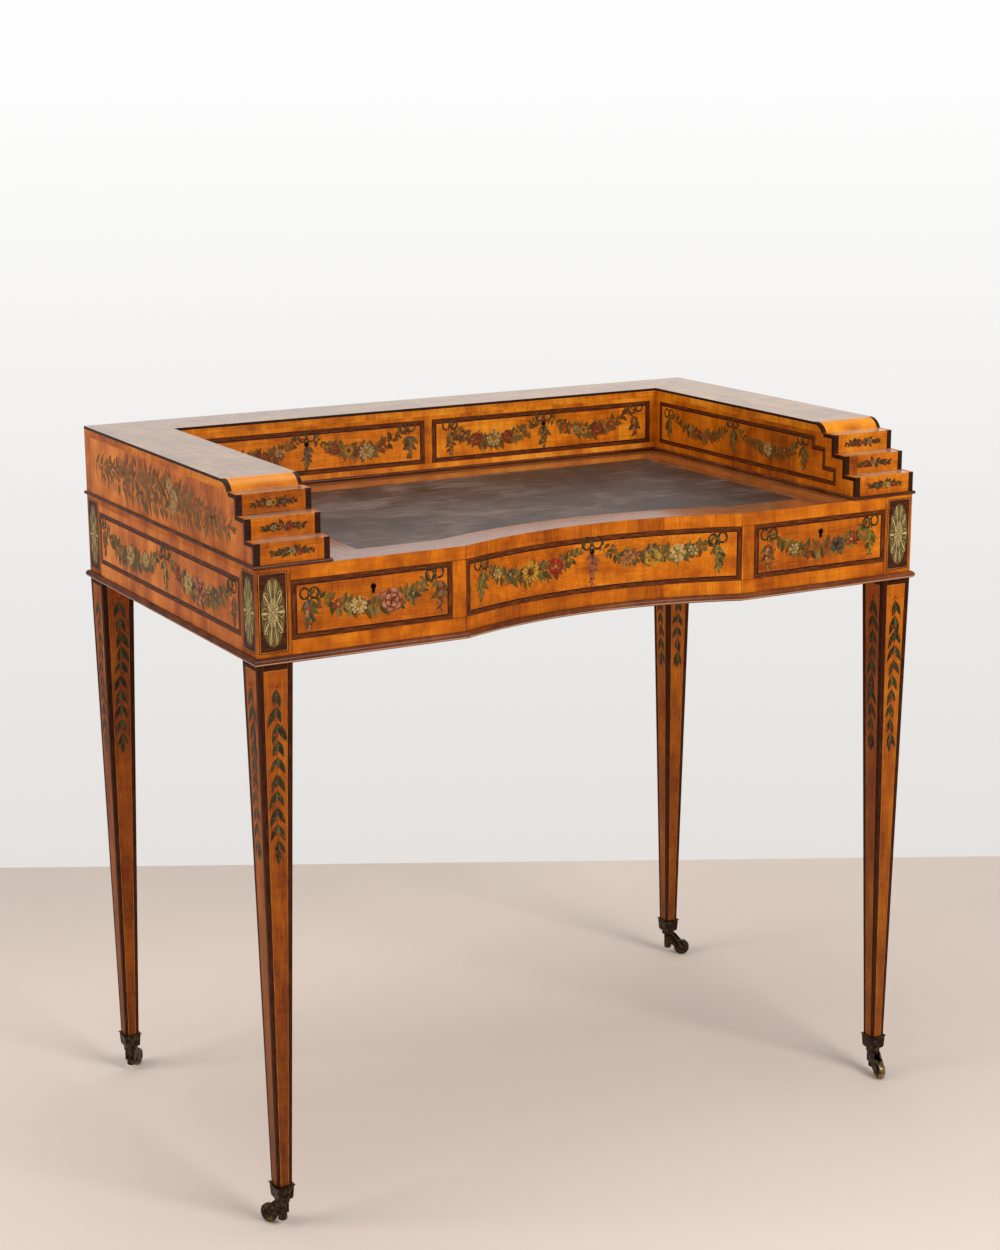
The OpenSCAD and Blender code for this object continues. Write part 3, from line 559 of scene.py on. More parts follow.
# %% Lay a drawing as one piece
def lay(name, layers, material, body="root", slot="rosewood", flat_shapes=True):
    """Lay shapes on faces as one mesh. A shape is (points, faces, values): a value is a colour
    for paint, or the place (along, across) for a band. Flat shapes get a back and a rim."""
    points, faces, values = [], [], []
    for place, shapes in layers:
        for flat, sheet, marks in shapes:
            if flat_shapes:
                flat, sheet = closed_leaf(list(flat), list(sheet))
                marks = list(marks) * 2
            start = len(points)
            points += [place(*point) for point in flat]
            faces += [tuple(i + start for i in face) for face in sheet]
            values += list(marks)
    mesh = bpy.data.meshes.new(name)
    mesh.from_pydata(points, [], faces)
    if len(values[0]) == 2:
        uv = mesh.uv_layers.new(name="band")
        for loop in mesh.loops:
            uv.data[loop.index].uv = values[loop.vertex_index]
    else:
        paint = mesh.color_attributes.new("paint", "FLOAT_COLOR", "POINT")
        paint.data.foreach_set("color", [part for value in values for part in value])
    mesh.materials.append(material)
    piece = bpy.data.objects.new(name, mesh)
    bpy.context.scene.collection.objects.link(piece)
    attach(piece, body)
    print(name, len(faces), "faces on", body)


print("drawings can be laid")

# %% [markdown]
# ## Mitres
# A band is a strip of constant width just inside an outline. At each corner the inner edge moves
# along the mitre, the line that halves the angle, which is how the maker joins two strips.
# Blender's own inset works on faces, not on an open line, so a few lines of geometry do it.


# %% Move a line inward
def inset(line, width, closed=True):
    """The line moved to its left by a width, mitred at its corners."""
    inner = []
    for i, here in enumerate(line):
        before = line[i - 1] if closed or i else None
        after = line[(i + 1) % len(line)] if closed or i < len(line) - 1 else None
        sides = []
        for a, b in ((before, here), (here, after)):
            if a is not None and b is not None:
                length = math.dist(a, b)
                sides.append(((a[1] - b[1]) / length, (b[0] - a[0]) / length))
        first, last = sides[0], sides[-1]
        share = width / 2
        if len(sides) == 2:
            share = width / (1 + first[0] * last[0] + first[1] * last[1])
        inner.append((here[0] + (first[0] + last[0]) * share,
                      here[1] + (first[1] + last[1]) * share))
    return inner


def oblong(width, height, u=0.0, v=0.0):
    """The outline of a rectangle round a point, anticlockwise."""
    return [(u - width / 2, v - height / 2), (u + width / 2, v - height / 2),
            (u + width / 2, v + height / 2), (u - width / 2, v + height / 2)]


print("a band's corner moves in to", inset(oblong(HOLLOW_W, HOLLOW_W), BAND_W)[2])

# %% [markdown]
# ## Bands
# Between an outline and its inset lies the band. Long strips are cut into short steps so that
# they can follow the hollow, and each point notes its place along and across the strip, which
# turns the streaks of the wood at every mitre.

# %% Cut bands to an outline
BAND_LIFT, BAND_STEP = 0.05 * MM, 12 * MM


def ladder(steps):
    """The faces of a strip whose points come in pairs, one on each side."""
    return [(2 * i, 2 * i + 2, 2 * i + 3, 2 * i + 1) for i in range(steps)]


def strip(outer, inner, lift=BAND_LIFT):
    """One shape between two lines of as many points, with the inner line on the left."""
    shapes = []
    for a, b, c, d in zip(outer, outer[1:], inner[1:], inner):
        steps = max(1, round(math.dist(a, b) / BAND_STEP))
        points = []
        for share in (i / steps for i in range(steps + 1)):
            for start, end in ((a, b), (d, c)):
                points.append((start[0] + (end[0] - start[0]) * share,
                               start[1] + (end[1] - start[1]) * share, lift))
        along = math.atan2(b[1] - a[1], b[0] - a[0])
        cos, sin = math.cos(along), math.sin(along)
        marks = [(u * cos + v * sin, v * cos - u * sin) for u, v, height in points]
        shapes.append((points, ladder(steps), marks))
    return shapes


def band(line, width, closed=True):
    """A mitred band on the left of a line."""
    inner = inset(line, width, closed)
    if closed:
        return strip(line + line[:1], inner + inner[:1])
    return strip(line, inner)


def fill(outline):
    """A four-sided outline filled as one strip."""
    a, b, c, d = outline
    return strip([a, b], [d, c])


print("a frame is cut from", len(band(oblong(HOLLOW_W, HOLLOW_W), BAND_W)), "mitred strips")

# %% [markdown]
# ## Banded drawers
# A drawer front has a dark band round its edge, let in flush, and a hairline of ebony inside it.
# The fronts differ in size and the middle one is hollow, so each keeps its own placing function,
# width and height. The inlay rides on its drawer and slides out with it.


# %% Band the five drawers
def lay_frame(band_name, line_name, faces_and_edges, width=BAND_W, body="root"):
    """A frame of rosewood inside each edge, and a hairline of ebony inside the frame."""
    lay(band_name, [(place, band(edge, width)) for place, edge in faces_and_edges],
        rosewood_band, body)
    lay(line_name, [(place, band(inset(edge, width), LINE_W)) for place, edge in faces_and_edges],
        ebony_line, body)


DRAWERS = {}
for side in ("left", "centre", "right"):
    low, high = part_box("drawer_front_" + side)
    middle = (low + high) / 2
    width, height = high.x - low.x, high.z - low.z
    place = flat_face((middle.x, low.y, middle.z), FRONT)
    if side == "centre":
        place = hollow_face(middle.z)
        width = 2 * HOLLOW_R * math.asin(width / 2 / HOLLOW_R)
    DRAWERS["drawer_" + side] = (place, width, height)
for side in ("left", "right"):
    low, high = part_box("gallery_drawer_front_" + side)
    middle = (low + high) / 2
    DRAWERS["gallery_drawer_" + side] = (
        flat_face((middle.x, low.y, middle.z), FRONT), high.x - low.x, high.z - low.z)
for body, (place, width, height) in DRAWERS.items():
    lay_frame(body + "_band", body + "_inner_line", [(place, oblong(width, height))], body=body)

# %% [markdown]
# ## Framed sides and back
# The side rails and the back carry a framed panel like the drawers'. Its height is a drawer's, so
# that the lines run on round the case, and it stops a millimetre short of each leg.

# %% Frame the side rails and the back
RAIL_GAPS = 2 * MM
drawer_place, _, FRAME_H = DRAWERS["drawer_left"]
FRAME_FOOT = drawer_place(0, -FRAME_H / 2, 0).z
frame_middle = FRAME_FOOT + FRAME_H / 2
side_low, side_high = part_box("side_rail_right")
side_frame = oblong(side_high.y - side_low.y - RAIL_GAPS, FRAME_H)
back_frame = oblong(2 * POST_IN - RAIL_GAPS, FRAME_H)
lay_frame("case_side_bands", "case_side_inner_lines", [
    (side_face(-1, HALF_W, frame_middle), side_frame),
    (side_face(1, HALF_W, frame_middle), side_frame),
    (flat_face((0, BACK_Y, frame_middle), BACK), back_frame)])

# %% [markdown]
# ## Dark edges
# Veneer chips where it ends in the open, so every stepped edge and the edges of the top boards are
# guarded by a dark strip. Its course is read from the boards' own meshes: a second list of
# numbers could drift away from the model.

# %% Read the steps and the roll
ROLL_REACH = 90 * MM


def seen_points(board):
    """The points of a board seen from the side, as (y, z)."""
    return {(round(c.co.y, 5), round(c.co.z, 5)) for c in NODES[board].data.vertices}


panel_points = seen_points("wing_outer_panel_right")
RISERS = sorted({y for y, z in panel_points if y < 0})
TREADS = sorted({z for y, z in panel_points if z > PANEL_FOOT + MM})
STEPS = list(zip(RISERS, [PANEL_FOOT] + TREADS, TREADS))
steps_line = [(RISERS[0], PANEL_FOOT)]
for riser, tread in zip(RISERS, TREADS):
    steps_line += [(riser, tread), (riser + RISERS[1] - RISERS[0], tread)]
roll = sorted((p for p in seen_points("gallery_top_right") if p[0] < FRONT_Y + ROLL_REACH),
              key=lambda p: p[1])
print("risers", RISERS, "treads", TREADS, "points round the roll", len(roll))

# %% [markdown]
# ## Strips along the edges
# Each strip is laid on the face beside the edge, where a cabinet maker would cut the rebate for
# it. One line of points serves all four faces of the two wings: it is walked forward or backward,
# so that the strip always lies inside the board.

# %% Edge the steps and the top boards
EDGE_W, TOP_EDGE_W = 5.0 * MM, 3.4 * MM


def side_edge(line, width, sign, inward):
    """A strip along a line of (y, z) points, on the outer or the inner face of one side."""
    seen = -sign if inward else sign
    walked = [(seen * y, z) for y, z in (reversed(line) if seen > 0 else line)]
    face = side_face(sign, WING_IN if inward else HALF_W, inward=inward)
    return face, band(walked, width, closed=False)


top_lines = ((roll + [(BACK_Y, TOP_Z)], False), (roll + [(GALLERY_Y, TOP_Z)], True))
top_layers = [side_edge(line, TOP_EDGE_W, sign, inward)
              for sign in (-1, 1) for line, inward in top_lines]
for place, half in ((flat_face((0, GALLERY_Y, TOP_Z), FRONT), WING_IN),
                    (flat_face((0, BACK_Y, TOP_Z), BACK), HALF_W)):
    top_layers.append((place, fill(oblong(2 * half, TOP_EDGE_W, 0, -TOP_EDGE_W / 2))))
for name, inward in (("step_edges_outer", False), ("step_edges_inner", True)):
    lay(name, [side_edge(steps_line, EDGE_W, sign, inward) for sign in (-1, 1)], dark_edging)
lay("top_board_edges", top_layers, dark_edging)

# %% [markdown]
# ## Ends of the wing panels
# Beside each riser the two side panels of a wing show their ends, which a strip of rosewood
# covers. A plain oblong on each end does it.

# %% Cap the panels' ends beside each riser
cap_layers = []
for riser, foot, tread in STEPS:
    face = flat_face((0, riser, 0), FRONT)
    for near, far in ((WING_IN, panel_high.x), (OUTER_IN, HALF_W)):
        for sign in (-1, 1):
            cap = oblong(far - near, tread - foot, sign * (near + far) / 2, (tread + foot) / 2)
            cap_layers.append((face, fill(cap)))
lay("step_panel_ends", cap_layers, dark_edging)

# %% [markdown]
# ## Ends of the rounded boards
# The top boards of the wings roll over at the front. A maker would bend a thin strip over each
# end with a hot iron. Here a placing function measures its way round the roll's own points, and
# one straight strip is drawn on it.

# %% Guard the ends of the rounded boards
ROLL_EDGE = 5.0 * MM
roll_reach = [0.0]
for lower, upper in zip(roll, roll[1:]):
    roll_reach.append(roll_reach[-1] + math.dist(lower, upper))


def roll_face(middle_x):
    """The rounded front of a top board: u runs along X, v upward round the curve."""
    def place(u, v, lift):
        i = min(sum(reach <= v for reach in roll_reach), len(roll) - 1)
        (y_low, z_low), (y_high, z_high) = roll[i - 1], roll[i]
        span = roll_reach[i] - roll_reach[i - 1]
        share = (v - roll_reach[i - 1]) / span
        y = y_low + (y_high - y_low) * share - lift * (z_high - z_low) / span
        z = z_low + (z_high - z_low) * share + lift * (y_high - y_low) / span
        return Vector((middle_x + u, y, z))
    return place


bent = [(side * ROLL_EDGE / 2, v, BAND_LIFT) for v in roll_reach for side in (-1, 1)]
bent_faces = [(2 * i, 2 * i + 1, 2 * i + 3, 2 * i + 2) for i in range(len(roll) - 1)]
bent_strip = (bent, bent_faces, [(v, u) for u, v, lift in bent])
roll_places = [sign * middle for sign in (-1, 1)
               for middle in (WING_IN + ROLL_EDGE / 2, HALF_W - ROLL_EDGE / 2)]
lay("roll_end_strips", [(roll_face(x), [bent_strip]) for x in roll_places], dark_edging)

# %% [markdown]
# ## Framed wings
# On the wings' inner faces the frame follows the steps, a finger's breadth inside them. Its foot
# and top are those of the gallery drawers, so that the lines meet in the corner. The outline is
# walked the other way on the left, because a band always lies on the left of its line.

# %% Frame the wings' inner faces
FRAME_IN, CORNER_GAP, WING_BAND_W = 17.5 * MM, 11 * MM, 4.5 * MM
drawer_place, _, drawer_h = DRAWERS["gallery_drawer_right"]
frame_foot, frame_top = (drawer_place(0, side * drawer_h / 2, 0).z for side in (-1, 1))
back = GALLERY_Y - CORNER_GAP
first, second, third = (y + FRAME_IN for y in (RISERS[1], RISERS[2], roll[0][0]))
lower, upper = (z - FRAME_IN for z in TREADS[1:3])
wing_frame = [(back, frame_foot), (first, frame_foot), (first, lower), (second, lower),
              (second, upper), (third, upper), (third, frame_top), (back, frame_top)]
lay_frame("wing_inner_bands", "wing_inner_lines", [
    (side_face(sign, WING_IN, inward=True), [(-sign * y, z) for y, z in line])
    for sign, line in ((-1, reversed(wing_frame)), (1, wing_frame))], WING_BAND_W)

# %% [markdown]
# ## Writing border
# The leather lies in a border of plain brown veneer, cut in four strips that meet in mitres at
# the leather's corners. The front strip follows the hollow, at one width all along.

# %% Lay the writing border
BORDER_LIFT, BORDER_GAP, FRONT_GAP = 0.08 * MM, 3 * MM, 0.3 * MM
ARC_STEPS = 24
leather_low, leather_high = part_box("writing_leather")


def hollow_line(half_w, line_y, radius):
    """A straight front edge with the hollow's curve in its middle, from left to right."""
    half = math.acos((line_y - HOLLOW_Y) / radius)
    curve = [(radius * math.sin(a), HOLLOW_Y + radius * math.cos(a))
             for a in (half * (2 * i / ARC_STEPS - 1) for i in range(ARC_STEPS + 1))]
    return [(-half_w, line_y)] + curve + [(half_w, line_y)]


border_side, border_back = WING_IN - BORDER_GAP, GALLERY_Y - BORDER_GAP
outer = hollow_line(border_side, FRONT_Y + FRONT_GAP, HOLLOW_R + FRONT_GAP)
outer += [(border_side, border_back), (-border_side, border_back)]
inner = hollow_line(leather_high.x, leather_low.y, HOLLOW_R + leather_low.y - FRONT_Y)
inner += [(leather_high.x, leather_high.y), (leather_low.x, leather_high.y)]
board_face = flat_face((0, 0, WRITING_Z), FRONT, (0, 1, 0))
border = strip(outer + outer[:1], inner + inner[:1], BORDER_LIFT)
lay("writing_border", [(board_face, border)], border_wood, slot="satinwood")

# %% [markdown]
# ## Faces of the legs
# A tapered leg's faces lean, so each gets a placing function of its own, made from the leg's
# square at two heights. Those come from its mesh.

# %% Find the faces of the legs
CUP_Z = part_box("caster_cup_front_left")[1].z
LEG_NAMES = ("leg_front_left", "leg_front_right", "leg_back_right", "leg_back_left")


def leg_square(name, height):
    """The lowest and highest corner of a leg's square section at a height."""
    ring = [c.co for c in NODES[name].data.vertices if abs(c.co.z - height) < 0.1 * MM]
    return [[pick(c[i] for c in ring) for i in range(2)] for pick in (min, max)]


def leg_faces(name):
    """For each face of a leg: its placing function, half widths at top and foot, and length."""
    faces = []
    squares = leg_square(name, FOOT_Z), leg_square(name, CUP_Z)
    for right in (FRONT, LEFT, BACK, RIGHT):
        across, along = (0, 1) if right[0] else (1, 0)
        far = 0 if Vector(right).cross((0, 0, 1))[along] < 0 else 1
        mids = []
        for square, height in zip(squares, (FOOT_Z, CUP_Z)):
            point = [0, 0, height]
            point[across] = (square[0][across] + square[1][across]) / 2
            point[along] = square[far][along]
            mids.append(Vector(point))
        slope = mids[0] - mids[1]
        top, foot = ((square[1][across] - square[0][across]) / 2 for square in squares)
        faces.append((flat_face(mids[0], right, slope.normalized()), top, foot, slope.length))
    return faces


LEG_FACES = {name: leg_faces(name) for name in LEG_NAMES}
print("leg faces", sum(len(faces) for faces in LEG_FACES.values()))

# %% [markdown]
# ## Banded legs
# Each leg face has a dark band down both edges, which narrows with the leg, and one across its
# top, with a fine pale line inside them. The left edge is drawn and the right one is its mirror
# image.

# %% Band the legs
LEG_BAND_TOP, LEG_BAND_FOOT, LEG_LINE = 6.6 * MM, 4.0 * MM, 0.45 * MM
for name, faces in LEG_FACES.items():
    bands, lines = [], []
    for place, top, foot, length in faces:
        edge = [(-top, 0.0), (-foot, -length)]
        edge_in = [(LEG_BAND_TOP - top, 0.0), (LEG_BAND_FOOT - foot, -length)]
        left = (edge, edge_in, [(u + LEG_LINE, v) for u, v in edge_in])
        right = [[(-u, v) for u, v in reversed(line)] for line in left]
        dark, pale = [], []
        for outside, inside, line in (left, right):
            dark += strip(outside, inside)
            pale += strip(inside, line)
        half = top - LEG_BAND_TOP
        dark += fill(oblong(2 * half, LEG_BAND_TOP, 0, -LEG_BAND_TOP / 2))
        pale += fill(oblong(2 * (half - LEG_LINE), LEG_LINE, 0, -LEG_BAND_TOP - LEG_LINE / 2))
        bands.append((place, dark))
        lines.append((place, pale))
    lay(name + "_bands", bands, leg_band)
    lay(name + "_lines", lines, stained_line)

# %% [markdown]
# ## Corner posts
# A dark tablet is let into each corner post, on both its outer faces, and lies in a fine pale
# line. It sits a hair off the middle, as on the real desk. Filling the pale line's inner outline
# makes the tablet, so that nothing overlaps.

# %% Inlay the corner posts
TABLET_EDGE, TABLET_Z, TABLET_LINE = oblong(33.5 * MM, 89 * MM), 740.5 * MM, 0.9 * MM
TABLET_OFF = 0.8 * MM
post_x = (HALF_W + POST_IN) / 2 + TABLET_OFF
post_y = (BACK_Y + side_high.y) / 2 + TABLET_OFF
POSTS = [flat_face((sign * post_x, y, TABLET_Z), right)
         for y, right in ((FRONT_Y, FRONT), (BACK_Y, BACK)) for sign in (-1, 1)]
POSTS += [flat_face((x, sign * post_y, TABLET_Z), right)
          for x, right in ((-HALF_W, LEFT), (HALF_W, RIGHT)) for sign in (-1, 1)]
for name, shapes, material in (
        ("post_outer_lines", band(inset(TABLET_EDGE, -TABLET_LINE), TABLET_LINE), ebony_line),
        ("post_pale_lines", band(TABLET_EDGE, TABLET_LINE), stained_line),
        ("post_tablets", fill(inset(TABLET_EDGE, TABLET_LINE)), post_ground)):
    lay(name, [(place, shapes) for place in POSTS], material)

# %% [markdown]
# ## Joints of the front
# A hairline of old glue and dirt shows where two boards meet. The boards of the model touch
# without a gap, so the line is laid on as a strip half a millimetre wide.

# %% Mark the joints of the front
UNDER_DRAWER, OVER_DRAWER = 0.3 * MM, 0.6 * MM
front_face = flat_face((0, FRONT_Y, 0), FRONT)
gallery_face = flat_face((0, GALLERY_Y, 0), FRONT)
drawer_foot, drawer_top = FRAME_FOOT, FRAME_FOOT + FRAME_H
bead_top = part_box("base_moulding")[1].z
partition_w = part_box("drawer_partitions")[1].x - HOLLOW_W / 2
gallery_joint_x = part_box("gallery_top_rail")[1].x
joints, gallery_joints = [], []
for sign in (-1, 1):
    for x, foot, top in ((HOLLOW_W / 2, drawer_top, WRITING_Z),
                         (HOLLOW_W / 2, bead_top, drawer_foot), (POST_IN, bead_top, WRITING_Z)):
        joints += fill(oblong(JOINT_W, top - foot, sign * x, (top + foot) / 2))
    for z in (drawer_foot - UNDER_DRAWER, drawer_top + OVER_DRAWER):
        joints += fill(oblong(partition_w, JOINT_W, sign * (HOLLOW_W + partition_w) / 2, z))
    gallery_joints += fill(oblong(JOINT_W, PANEL_TOP - frame_foot, sign * gallery_joint_x,
                                  (PANEL_TOP + frame_foot) / 2))
lay("front_joints", [(front_face, joints)], ebony_line)
lay("gallery_joints", [(gallery_face, gallery_joints)], ebony_line)

# %% [markdown]
# ## Oil paint
# The flowers are painted in oils straight on the veneer, then varnished with it. Each painted
# shape carries its colour in an attribute called paint, since one material then serves every
# flower. It breaks the colour up into brush marks about 1.5 mm apart, warms it as old varnish
# does, and lets wood show through in worn patches about 4 mm across.

# %% Make the oil paint
# muted colours with brush marks and a little wood showing through
oil_paint, paint_tree = new_material("oil_paint_under_varnish")
paint_place = add(paint_tree, "ShaderNodeTexCoord", output="Object")
brush_marks = add(paint_tree, "ShaderNodeTexNoise", {
    "Vector": paint_place, "Scale": 650.0, "Detail": 2.0})
worn_places = add(paint_tree, "ShaderNodeTexNoise", {
    "Vector": paint_place, "Scale": 250.0, "Detail": 3.0})
own_colour = add(paint_tree, "ShaderNodeAttribute", output="Color", attribute_name="paint")
mark_tone = add(paint_tree, "ShaderNodeMapRange", {
    "Value": brush_marks, "From Min": 0.3, "From Max": 0.7, "To Min": 0.8, "To Max": 1.12})
warmed = add(paint_tree, "ShaderNodeVectorMath", {0: own_colour, 1: linear("#E2CBA0")[:3]},
             operation="MULTIPLY")
broken = add(paint_tree, "ShaderNodeVectorMath", {0: warmed, "Scale": mark_tone},
             operation="SCALE")
painted_wood = go_over(paint_tree, broken, linear("#B4702C"), worn_places, 0.55, 0.75, 0.4)
close_varnished(paint_tree, painted_wood, 0.15, 0.1)
print("oil paint has", len(paint_tree.nodes), "nodes")

# %% [markdown]
# ## Leaves and petals with Geometry Nodes
# A painter makes a leaf with one press of a pointed brush, and hundreds of them make a garland.
# They could be placed one by one in Python, but a Geometry Nodes tree keeps the rule in one
# place. Two trees are built: one sets pairs of leaves along a path, the other sets petals round a
# centre. Sizes come in through named inputs, and a fixed seed varies each stroke.


# %% Start a tree and vary its strokes
def new_tree(name, inputs):
    """A geometry tree with one geometry output, its named inputs and their sockets inside it."""
    tree = bpy.data.node_groups.new(name, "GeometryNodeTree")
    tree.interface.new_socket("geometry", in_out="INPUT", socket_type="NodeSocketGeometry")
    kinds = {float: "NodeSocketFloat", int: "NodeSocketInt", tuple: "NodeSocketColor"}
    for label, value in inputs.items():
        socket = tree.interface.new_socket(label, in_out="INPUT", socket_type=kinds[type(value)])
        socket.default_value = value
    tree.interface.new_socket("geometry", in_out="OUTPUT", socket_type="NodeSocketGeometry")
    return tree, add(tree, "NodeGroupInput").node.outputs


def vary(tree, given, low, high, shift):
    """A random number for each stroke, from the tree's own seed."""
    seed = add(tree, "ShaderNodeMath", {0: given["seed"], 1: float(shift)}, operation="ADD")
    dice = add(tree, "FunctionNodeRandomValue", {"Seed": seed}, data_type="FLOAT")
    for label, value in (("Min", low), ("Max", high)):
        socket = next(s for s in dice.node.inputs if s.name == label and s.enabled)
        if isinstance(value, bpy.types.NodeSocket):
            tree.links.new(value, socket)
        else:
            socket.default_value = value
    return dice


print("trees can be started")

# %% [markdown]
# ## The brush stroke
# The stroke is a small grid whose width follows half a wave, so that it is pinched at both ends.
# Its fullness shifts the widest place toward the tip. Each point notes how far along and across
# the stroke it lies, and the colour is mixed from that.


# %% Build the brush stroke
def stroke(tree, given, rows):
    """The brush stroke: from its start along +X, with its marks stored."""
    shape = add(tree, "GeometryNodeMeshGrid", {"Vertices X": rows, "Vertices Y": 3})
    grid_place = add(tree, "GeometryNodeInputPosition")
    spot = add(tree, "ShaderNodeSeparateXYZ", {0: grid_place}).node.outputs
    along = add(tree, "ShaderNodeMath", {0: spot["X"], 1: 0.5}, operation="ADD")
    half = add(tree, "ShaderNodeMath", {0: spot["Y"], 1: 0.5}, operation="ADD")
    for name, value in (("along", along), ("half", half)):
        shape = add(tree, "GeometryNodeStoreNamedAttribute", {
            "Geometry": shape, "Name": name, "Value": value}, data_type="FLOAT", domain="POINT")
    late = add(tree, "ShaderNodeMath", {0: along, 1: given["fullness"]}, operation="POWER")
    angle = add(tree, "ShaderNodeMath", {0: late, 1: math.pi}, operation="MULTIPLY")
    wave = add(tree, "ShaderNodeMath", {0: angle}, operation="SINE")
    girth = add(tree, "ShaderNodeMath", {0: wave, 1: 0.1}, operation="MAXIMUM")
    across = add(tree, "ShaderNodeMath", {0: spot["Y"], 1: girth}, operation="MULTIPLY")
    y = add(tree, "ShaderNodeMath", {0: across, 1: given["width"]}, operation="MULTIPLY")
    x = add(tree, "ShaderNodeMath", {0: along, 1: given["length"], 2: given["start"]},
            operation="MULTIPLY_ADD")
    pinched = add(tree, "ShaderNodeCombineXYZ", {0: x, 1: y})
    return add(tree, "GeometryNodeSetPosition", {"Geometry": shape, "Position": pinched})


print("the brush stroke is ready")

# %% [markdown]
# ## Placing and colouring strokes
# Instances are light: the tree copies one stroke to every point and only turns and scales it. At
# the end they are realised, since the colour needs real points to live on, and the material is
# set inside the tree so that it comes out with the mesh.


# %% Place, colour and end
def place_strokes(tree, points, shape, rotation, scale, tone):
    """The stroke on every point, each with a tone of its own."""
    strokes = add(tree, "GeometryNodeInstanceOnPoints", {
        "Points": points, "Instance": shape, "Rotation": rotation, "Scale": scale})
    return add(tree, "GeometryNodeStoreNamedAttribute", {
        "Geometry": strokes, "Name": "tone", "Value": tone}, data_type="FLOAT", domain="INSTANCE")


def colour_and_end(tree, given, strokes, factor_of):
    """Realise the strokes, mix their two colours by a factor and close the tree."""
    real = add(tree, "GeometryNodeRealizeInstances", {"Geometry": strokes})
    noted = {name: add(tree, "GeometryNodeInputNamedAttribute", {"Name": name}, data_type="FLOAT")
             for name in ("along", "half", "tone")}
    mixed = add(tree, "ShaderNodeMix", {
        0: factor_of(noted), 6: given["dark"], 7: given["light"]}, data_type="RGBA")
    painted = add(tree, "GeometryNodeStoreNamedAttribute", {
        "Geometry": real, "Name": "paint", "Value": mixed}, data_type="FLOAT_COLOR", domain="POINT")
    finished = add(tree, "GeometryNodeSetMaterial", {"Geometry": painted, "Material": oil_paint})
    add(tree, "NodeGroupOutput", {0: finished})


print("strokes can be placed and coloured")

# %% [markdown]
# ## The leaf tree: its path
# A path is cut into even steps. Leaves grow in the middle of the path by the swell and shrink
# toward its end by the taper, so each point has to know how far along it lies. Resampling a curve
# gives even steps whatever the spacing of the given points.

# %% Cut the path of the leaf tree
leaf_tree, leaf_in = new_tree("leaves_along_a_path", {
    "spacing": 5 * MM, "length": 9 * MM, "width": 4 * MM, "start": 0.0, "fullness": 0.8,
    "lean": 0.9, "spread": 0.4, "uneven": 0.25, "taper": 0.0, "swell": 0.0,
    "dark": linear("#3A3A1C"), "light": linear("#868050"), "seed": 1})
path = add(leaf_tree, "GeometryNodeMeshToCurve", {0: leaf_in["geometry"]})
even = add(leaf_tree, "GeometryNodeResampleCurve", {"Curve": path, "Length": leaf_in["spacing"]},
           mode="LENGTH")
reach = add(leaf_tree, "GeometryNodeSplineParameter", output="Factor")
even = add(leaf_tree, "GeometryNodeStoreNamedAttribute", {
    "Geometry": even, "Name": "reach", "Value": reach}, data_type="FLOAT", domain="POINT")
spots = add(leaf_tree, "GeometryNodeCurveToPoints", {"Curve": even}, mode="EVALUATED")
tangent = spots.node.outputs["Tangent"]
heading = add(leaf_tree, "ShaderNodeSeparateXYZ", {0: tangent}).node.outputs
heading = add(leaf_tree, "ShaderNodeMath", {0: heading["Y"], 1: heading["X"]}, operation="ARCTAN2")
# size along the path: the swell is largest in the middle, the taper takes its share at the end
reach = add(leaf_tree, "GeometryNodeInputNamedAttribute", {"Name": "reach"}, data_type="FLOAT")
belly = add(leaf_tree, "ShaderNodeMath", {0: reach, 1: math.pi}, operation="MULTIPLY")
belly = add(leaf_tree, "ShaderNodeMath", {0: belly}, operation="SINE")
belly = add(leaf_tree, "ShaderNodeMath", {0: belly, 1: -1.0}, operation="ADD")
belly = add(leaf_tree, "ShaderNodeMath", {0: belly, 1: leaf_in["swell"], 2: 1.0},
            operation="MULTIPLY_ADD")
slim = add(leaf_tree, "ShaderNodeMath", {0: reach, 1: leaf_in["taper"]}, operation="MULTIPLY")
slim = add(leaf_tree, "ShaderNodeMath", {0: 1.0, 1: slim}, operation="SUBTRACT")
size = add(leaf_tree, "ShaderNodeMath", {0: belly, 1: slim}, operation="MULTIPLY")
print("tree", leaf_tree.name, "has", len(leaf_in), "inputs")

# %% [markdown]
# ## The leaf tree: its leaves
# Each step gets a leaf on its left and one on its right, which lean forward by an angle. Two
# leaves that lie in one plane would flicker where they cross, so each is lifted by its own few
# thousandths of a millimetre, and so is every later touch of paint.

# %% Set pairs of leaves on the path
LAYER, LEAF_LAYERS = 0.006 * MM, 6.0
